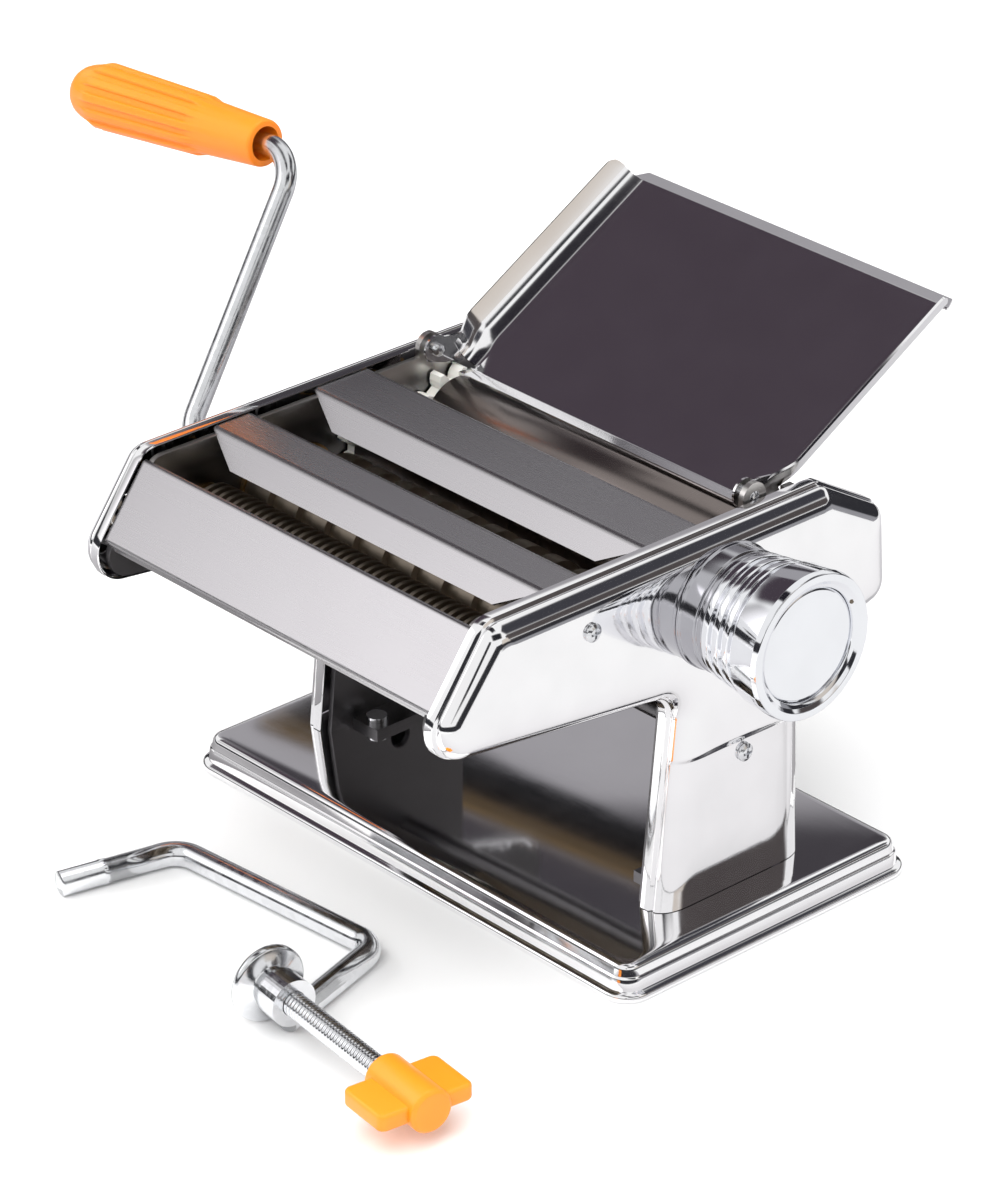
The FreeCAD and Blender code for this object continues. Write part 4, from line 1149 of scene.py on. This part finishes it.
class PASTA_OT_inner_works(bpy.types.Operator):
    """Smooth the rollers, rods and clamp parts that keep their solid form"""
    bl_idname = "pasta.inner_works"
    bl_label = "Smooth parts"

    def execute(self, context):
        plan = (
            ("rear_roller", "rear_roll", "roller_steel", None),
            ("front_roller", "front_roll", "roller_steel", None),
            ("crank_rod", "crank", "zinc_plate", "crank_zinc"), ("clamp_rod", "clamp", "zinc_plate", None),
            ("clamp_pad", "pad", "zinc_plate", None), ("tie_rods", "housing", "plain_steel", None),
            ("tray_pins", "housing", "zinc_plate", None),
        )
        for node, body, slot, finish in plan:
            smooth_copy(node + "_smooth", node, body, slot, finish)
        return {"FINISHED"}


# Regulator
class PASTA_OT_regulator(bpy.types.Operator):
    """Turn the collar, the ribbed knob and its dished cap"""
    bl_idname = "pasta.regulator"
    bl_label = "Regulator"

    def execute(self, context):
        low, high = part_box("regulator_knob")
        self.collar()
        self.knob(low.x / MM, high.x / MM)
        self.cap(high.x / MM)
        self.mark(high.x / MM)
        return {"FINISHED"}

    def turn(self, node, body, line, segments, closed=False, finish=None):
        name = node + "_turned"
        mesh = turned_mesh(name, line, (0, *REGULATOR_AXIS), (1, 0, 0), segments, None, closed)
        add_piece(name, mesh, body, "knob_chrome", (node,), 40.0, finish)

    def collar(self):
        low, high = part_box("regulator_collar")
        start = low.x / MM
        end = high.x / MM
        points = [
            (start, 7.3), (start, 20.5), (start + 1.0, 20.5), (start + 1.6, 20.0), (end - 3.4, 20.0),
            (end - 3.0, 19.2)
        ]
        points += [
            (end - 2.2, 19.2), (end - 1.8, 20.0), (end, 20.0), (end, 18.4), (start + 4.2, 18.4),
            (start + 4.2, 7.3)
        ]
        line = profile_line(points, 0.35, 3, True)
        self.turn("regulator_collar", "housing", line, 96, True, "collar_chrome")

    def knob(self, start, end):
        points = [
            (start, 16.7), (start, 20.6), (start + 2.6, 20.6), (start + 3.2, 19.1), (start + 4.4, 19.1),
            (start + 5.0, 21.2)
        ]
        points += [
            (start + 7.4, 21.2), (start + 8.0, 19.6), (start + 9.2, 19.6), (start + 9.8, 21.8),
            (start + 12.0, 21.8)
        ]
        points += [
            (start + 12.6, 20.4), (start + 13.9, 20.4), (start + 14.4, 22.8), (end - 2.0, 23.7), (end, 23.2)
        ]
        points += [
            (end, 20.8), (end - 0.9, 19.6), (end - 1.5, 18.3), (end - 3.8, 18.2), (end - 3.8, 16.2),
            (start + 6.4, 16.2)
        ]
        points += [(start + 6.4, 5.1), (start + 3.4, 5.1), (start + 3.4, 16.7)]
        line = profile_line(points, 0.55, 4, True)
        self.turn("regulator_knob", "knob", line, 112, True)

    def cap(self, end):
        back = end - 3.7
        points = [
            (back, 0.0), (back, 18.1), (end - 2.4, 18.1), (end - 2.0, 17.2), (end - 2.1, 14.0),
            (end - 1.9, 0.0)
        ]
        line = profile_line(points, 0.5, 4)
        self.turn("knob_cap", "knob", line, 96)

    def mark(self, end):
        y, z = REGULATOR_AXIS
        line = profile_line(
            [(end - 2.6, 0.0), (end - 2.6, 0.9), (end - 1.0, 0.9), (end - 0.8, 0.5), (end - 0.9, 0.0)], 0.2, 3
        )
        mesh = turned_mesh("knob_mark", line, (0, y + 17.2, z + 9.0), (1, 0, 0), 24)
        add_piece("knob_mark", mesh, "knob", "knob_chrome", (), 40.0, "comb_plastic")


# Crank grip
class PASTA_OT_grip(bpy.types.Operator):
    """Mould the fluted crank grip round its bore"""
    bl_idname = "pasta.grip"
    bl_label = "Crank grip"

    def execute(self, context):
        sizes = context.scene.pasta_handle
        length = sizes.grip_length / MM
        flutes = sizes.grip_flutes
        outer = [(0.0, 5.6), (0.0, 7.0), (0.3, 7.5), (1.0, 7.75), (length * 0.1, 8.1), (length * 0.28, 8.85)]
        outer += [(length * (0.30 + 0.54 * k / 18), 8.95 + 1.25 * k / 18) for k in range(19)]
        dome = [
            (0.86, 10.15), (0.89, 9.85), (0.92, 9.3), (0.945, 8.5), (0.965, 7.4), (0.98, 6.0), (0.992, 4.0),
            (0.998, 2.0), (1.0, 0.0)
        ]
        outer += [(length * share, radius) for share, radius in dome]
        inner = [
            (length * 0.86, 0.0), (length * 0.86, 6.1), (length * 0.76, 6.1), (length * 0.76, 3.55),
            (12.0, 3.55), (10.0, 5.6)
        ]
        line = inner + [(0.0, 5.6)] + outer[1:]

        first = 0.295
        last = 0.87

        def rib(along, angle):
            share = along / length
            if share < first or share > last or along < 1.0:
                return 0.0
            fade = min(1.0, (share - first) / 0.012, (last - share) / 0.02)
            ridge = 0.5 + 0.5 * math.cos(flutes * angle)
            return fade * limited((ridge - 0.34) / 0.2)

        split = len(inner)
        foot = CRANK_TOP + GRIP_WAY * GRIP_START
        points, faces = turned(line, foot, GRIP_WAY, GRIP_FACES)
        ribbed = turned(line, foot, GRIP_WAY, GRIP_FACES, rib)[0]
        points[split * GRIP_FACES:] = ribbed[split * GRIP_FACES:]
        mesh = mesh_of("crank_grip_moulded", points, faces)
        add_piece("crank_grip_moulded", mesh, "grip", "orange_plastic", ("crank_grip",), 50.0)
        return {"FINISHED"}


# Table clamp
class PASTA_OT_clamp(bpy.types.Operator):
    """Cut the clamp's thread and mould its wing nut"""
    bl_idname = "pasta.clamp"
    bl_label = "Table clamp"

    def execute(self, context):
        sizes = context.scene.pasta_handle
        self.way = Vector((math.cos(CLAMP_YAW), math.sin(CLAMP_YAW), 0))
        self.screw(sizes)
        self.wing_nut(sizes)
        return {"FINISHED"}

    def screw(self, sizes):
        lead = sizes.thread_lead / MM
        line = [(-1.0, 0.0), (-1.0, 3.3), (-0.6, 3.6)]
        deep = 0.28
        sunk = 0.02
        step = lead / THREAD_STEPS
        count = int((NUT_START + 4.0) / step)
        line += [(k * step, 3.7) for k in range(count)]
        line += [(count * step, 3.6), (NUT_END - 2.0, 3.6), (NUT_END - 2.0, 0.0)]

        def thread(along, angle):
            if along < 0 or along > NUT_START + 3.0:
                return 0.0
            turn = (along / lead - angle / (2 * math.pi)) % 1.0
            return deep * (1 - abs(2 * turn - 1)) - sunk

        mesh = turned_mesh("clamp_screw_thread", line, CLAMP_SCREW_START, self.way, 36, thread)
        add_piece("clamp_screw_thread", mesh, "clamp_screw_group", "zinc_plate", ("clamp_screw",), 60.0)

    def wing_nut(self, sizes):
        half = sizes.wing_thickness / MM / 2
        turn = Matrix.Rotation(CLAMP_YAW, 4, "Z")
        near = NUT_START + WING_INSET
        far = NUT_END - WING_INSET
        outline = [(near, -WING_REACH), (far, -WING_REACH), (far, WING_REACH), (near, WING_REACH)]
        ring = soft_line(outline, 2.6, 8, True)
        points = [turn @ Vector((p.x, p.y, z)) + CLAMP_SCREW_START for z in (-half, half) for p in ring]
        wings = mesh_of("wings", points, prism_faces(len(ring)))
        line = [(NUT_START, 4.05), (NUT_START, 7.1), (NUT_END - 1.0, 7.1), (NUT_END, 6.0), (NUT_END, 0.0)]
        hub = turned_mesh("hub", profile_line(line, 0.8, 4), CLAMP_SCREW_START, self.way, 48)
        mesh = joined_mesh("clamp_wing_nut_moulded", [wings, hub])
        piece = add_piece(
            "clamp_wing_nut_moulded", mesh, "clamp_screw_group", "orange_plastic", ("clamp_wing_nut",), 50.0,
            "amber_plastic"
        )
        soften_edges(piece, 0.0012, 4, 50.0)
        bake_modifiers(piece)
        sharpen(piece, 50.0)


# Screws
class PASTA_OT_screws(bpy.types.Operator):
    """Set the cross-head cover screws"""
    bl_idname = "pasta.screws"
    bl_label = "Cover screws"

    def execute(self, context):
        head = self.head()
        tree = screw_tree(FINISHES["zinc_plate"], head)
        values = {"Reach": COVER_OUT * MM, "Low reach": (COVER_OUT - STEP_DEEP) * MM}
        mesh = tree.make("cover_screw_heads", values)
        bpy.data.objects.remove(head)
        add_piece(
            "cover_screw_heads", mesh, "housing", "polished_steel", ("cover_screws",), 40.0, "zinc_plate"
        )
        return {"FINISHED"}

    def head(self):
        line = profile_line(
            [(-4.0, 0.0), (-4.0, 1.9), (0.0, 1.9), (0.0, 3.0), (0.9, 3.0), (1.6, 1.8), (1.85, 0.0)], 0.35, 4
        )
        dome = linked("dome", turned_mesh("dome", line, (0, 0, 0), (1, 0, 0), 40))
        for size in ((1.7, 0.45), (0.45, 1.7)):
            box = bmesh.new()
            spread = Matrix.Diagonal((2.4 * MM, 2 * size[0] * MM, 2 * size[1] * MM, 1.0))
            bmesh.ops.create_cube(box, size=1.0, matrix=Matrix.Translation((2.0 * MM, 0, 0)) @ spread)
            mesh = bpy.data.meshes.new("cross")
            box.to_mesh(mesh)
            box.free()
            cut_away(dome, mesh)
        return dome


# Stage
class PASTA_OT_stage(bpy.types.Operator):
    """Set the floor, the lights, the reflected cards and the camera"""
    bl_idname = "pasta.stage"
    bl_label = "Stage"

    def execute(self, context):
        self.floor(context.scene.pasta_colours)
        self.world(context.scene)
        self.lights()
        self.cards()
        self.camera(context.scene)
        return {"FINISHED"}

    def floor(self, colours):
        mesh = bpy.data.meshes.new("floor")
        edge = 12.0
        mesh.from_pydata(
            [(-edge, -edge, 0), (edge, -edge, 0), (edge, edge, 0), (-edge, edge, 0)], [], [(0, 1, 2, 3)]
        )
        mesh.materials.append(studio_floor(tuple(colours.floor)))
        linked("floor", mesh)

    def world(self, scene):
        world = bpy.data.worlds.new("studio")
        world.use_nodes = True
        back = world.node_tree.nodes["Background"]
        back.inputs["Color"].default_value = (1.0, 1.0, 1.0, 1.0)
        back.inputs["Strength"].default_value = STUDIO
        scene.world = world
        scene.view_settings.view_transform = "Standard"

    def lights(self):
        for name, place, size, power in (
            ("key", (0.7, -1.2, 1.7), 1.4, 26.0), ("fill", (-1.5, -0.7, 1.3), 1.2, 12.0),
            ("top", (0.0, 0.4, 2.0), 1.6, 18.0),
        ):
            data = bpy.data.lights.new(name, "AREA")
            data.energy = power
            data.size = size
            light = linked(name, data)
            light.location = place
            light.rotation_euler = (LIGHT_AIM - Vector(place)).to_track_quat("-Z", "Y").to_euler()
            light.visible_glossy = False

    def cards(self):
        plan = (
            (
                "tray_card", (0.0, 0.07, 0.15), (-0.656, 0.04, 0.752), 1.2, 1.15, 0.70, (0.064, 0.05, 0.064),
                None
            ),
            (
                "lip_card", (0.0, 0.024, 0.127), (-0.656, 0.676, 0.333), 0.3, 0.50, 0.10,
                (0.055, 0.05, 0.058), None
            ),
            ("roof_card", (0.0, 0.07, 0.15), (0.0, -0.22, 0.975), 1.3, 1.5, 0.46, (0.02, 0.018, 0.024), None),
            (
                "wall_card", (-0.07, 0.07, 0.15), (0.953, 0.202, 0.228), 1.2, 0.60, 0.36, (0.66, 0.60, 0.54),
                None
            ),
            ("top_card", (0.0, -0.02, 0.13), (-0.656, 0.597, 0.44), 1.3, 1.2, 0.80, (0.36, 0.35, 0.37), None),
            ("back_card", (0.08, 0.0, 0.12), (0.34, 0.62, 0.74), 1.3, 1.2, 0.70, (0.05, 0.05, 0.06), None),
            ("low_card", (0.09, 0.0, 0.01), (0.656, 0.597, 0.461), 1.3, 0.8, 0.50, (0.08, 0.07, 0.07), None),
            (
                "right_card", (0.086, 0.0, 0.1), (0.656, 0.597, -0.05), 1.1, 1.6, 0.20, (0.30, 0.30, 0.32),
                None
            ),
            (
                "front_card", (0.0, -0.07, 0.12), (-0.656, -0.60, 0.46), 0.6, 0.5, 0.42,
                (0.085, 0.083, 0.085), (2.95, 2.9, 2.95)
            ),
            ("knob_card", (0.09, 0.0, 0.11), (0.656, -0.16, 0.68), 1.3, 1.0, 0.58, (0.02, 0.02, 0.025), None),
            (
                "lens_card", (0.06, -0.1, 0.06), (0.656, -0.597, 0.461), 1.4, 0.22, 0.34, (0.03, 0.03, 0.035),
                None
            ),
        )
        for name, middle, way, reach, wide, tall, left, right in plan:
            turn = Vector(way).to_track_quat("Z", "Y").to_matrix()
            centre = Vector(middle) + Vector(way) * reach
            half = Vector((wide / 2, tall / 2, 0))
            corners = [
                centre + turn @ (half * Vector(c)) for c in ((-1, -1, 0), (1, -1, 0), (1, 1, 0), (-1, 1, 0))
            ]
            self.place_card(name, corners, glow_card(name, left, right or left, CARD_FADE))
        self.horizon()
        for side, name, bands in ((1, "right_floor_card", RIGHT_BANDS), (-1, "left_floor_card", LEFT_BANDS)):
            floor = [
                (side * x, y, CARD_LIFT) for x, y in ((0.103, -0.9), (1.9, -0.9), (1.9, 1.9), (0.103, 1.9))
            ]
            self.place_card(name, floor, banded_card(name, bands))
        floor = [
            (0.1, 0.085, CARD_LIFT), (0.1, 1.6, CARD_LIFT), (-0.1, 1.6, CARD_LIFT), (-0.1, 0.085, CARD_LIFT)
        ]
        self.place_card("rear_floor_card", floor, banded_card("rear_floor_card", REAR_BANDS))
        # Card with a painted reflection of dark bands and warm lines, for the top of the base to mirror
        wall = [(-0.36, 0.160, 0.173), (-0.36, 0.212, 0.173), (-0.12, 0.212, 0.173), (-0.12, 0.160, 0.173)]
        self.place_card("rear_wall_card", wall, banded_card("rear_wall_card", PAINTED_REFLECTION_BANDS))

    def horizon(self):
        tone = (0.03, 0.03, 0.035)
        far = 2.6
        tall = 0.68
        sides = 64
        points, faces = turned([(0.0, far), (tall, far)], (0, 0, 0), (0, 0, 1), sides)
        spots = [(0.5, 0.0), (0.5, 0.0), (0.5, 1.0), (0.5, 1.0)] * sides
        material = glow_card("horizon_card", tone, tone, HORIZON_FADE)
        self.place_card("horizon_card", points, material, faces, spots)

    def place_card(
        self, name, points, material, faces=((0, 1, 2, 3),), spots=((0, 0), (1, 0), (1, 1), (0, 1))
    ):
        mesh = bpy.data.meshes.new(name)
        mesh.from_pydata(points, [], faces)
        layer = mesh.uv_layers.new(name="card")
        for loop, spot in zip(layer.data, spots):
            loop.uv = spot
        mesh.materials.append(material)
        card = linked(name, mesh)
        card.visible_camera = False
        card.visible_diffuse = False
        card.visible_shadow = False

    def camera(self, scene):
        data = bpy.data.cameras.new("camera")
        data.lens = CAMERA_LENS
        data.sensor_width = 36.0
        data.clip_end = 50.0
        camera = linked("camera", data)
        level = math.cos(CAMERA_RISE)
        back = Vector((math.sin(CAMERA_TURN) * level, -math.cos(CAMERA_TURN) * level, math.sin(CAMERA_RISE)))
        camera.location = CAMERA_PLACE
        camera.rotation_euler = (-back).to_track_quat("-Z", "Y").to_euler()
        scene.camera = camera


class PASTA_PT_machine(bpy.types.Panel):
    bl_idname = "PASTA_PT_machine"
    bl_label = "Pasta Machine"
    bl_space_type = "VIEW_3D"
    bl_region_type = "UI"
    bl_category = "Pasta Machine"

    def draw(self, context):
        for operator in OPERATORS:
            self.layout.operator(operator.bl_idname)
        for group in GROUPS:
            settings = getattr(context.scene, group)
            box = self.layout.box()
            for key in settings.__annotations__:
                box.prop(settings, key)


GROUPS = {
    "pasta_covers": CoverSizes, "pasta_rollers": RollerSizes, "pasta_handle": HandleSizes,
    "pasta_colours": FinishColours
}
OPERATORS = (
    PASTA_OT_finishes, PASTA_OT_side_covers, PASTA_OT_base_pan, PASTA_OT_sheet_covers, PASTA_OT_dough_tray,
    PASTA_OT_cutters, PASTA_OT_inner_works, PASTA_OT_regulator, PASTA_OT_grip, PASTA_OT_clamp,
    PASTA_OT_screws, PASTA_OT_stage,
)


def register():
    for name, group in GROUPS.items():
        bpy.utils.register_class(group)
        setattr(bpy.types.Scene, name, PointerProperty(type=group))
    for item in OPERATORS + (PASTA_PT_machine,):
        bpy.utils.register_class(item)


def unregister():
    for item in reversed(OPERATORS + (PASTA_PT_machine,)):
        bpy.utils.unregister_class(item)
    for name, group in GROUPS.items():
        delattr(bpy.types.Scene, name)
        bpy.utils.unregister_class(group)


def main():
    register()
    bpy.ops.pasta.finishes()
    bpy.ops.pasta.side_covers()
    bpy.ops.pasta.base_pan()
    bpy.ops.pasta.sheet_covers()
    bpy.ops.pasta.dough_tray()
    bpy.ops.pasta.cutters()
    bpy.ops.pasta.inner_works()
    bpy.ops.pasta.regulator()
    bpy.ops.pasta.grip()
    bpy.ops.pasta.clamp()
    bpy.ops.pasta.screws()
    bpy.ops.pasta.stage()


if __name__ == "__main__":
    main()
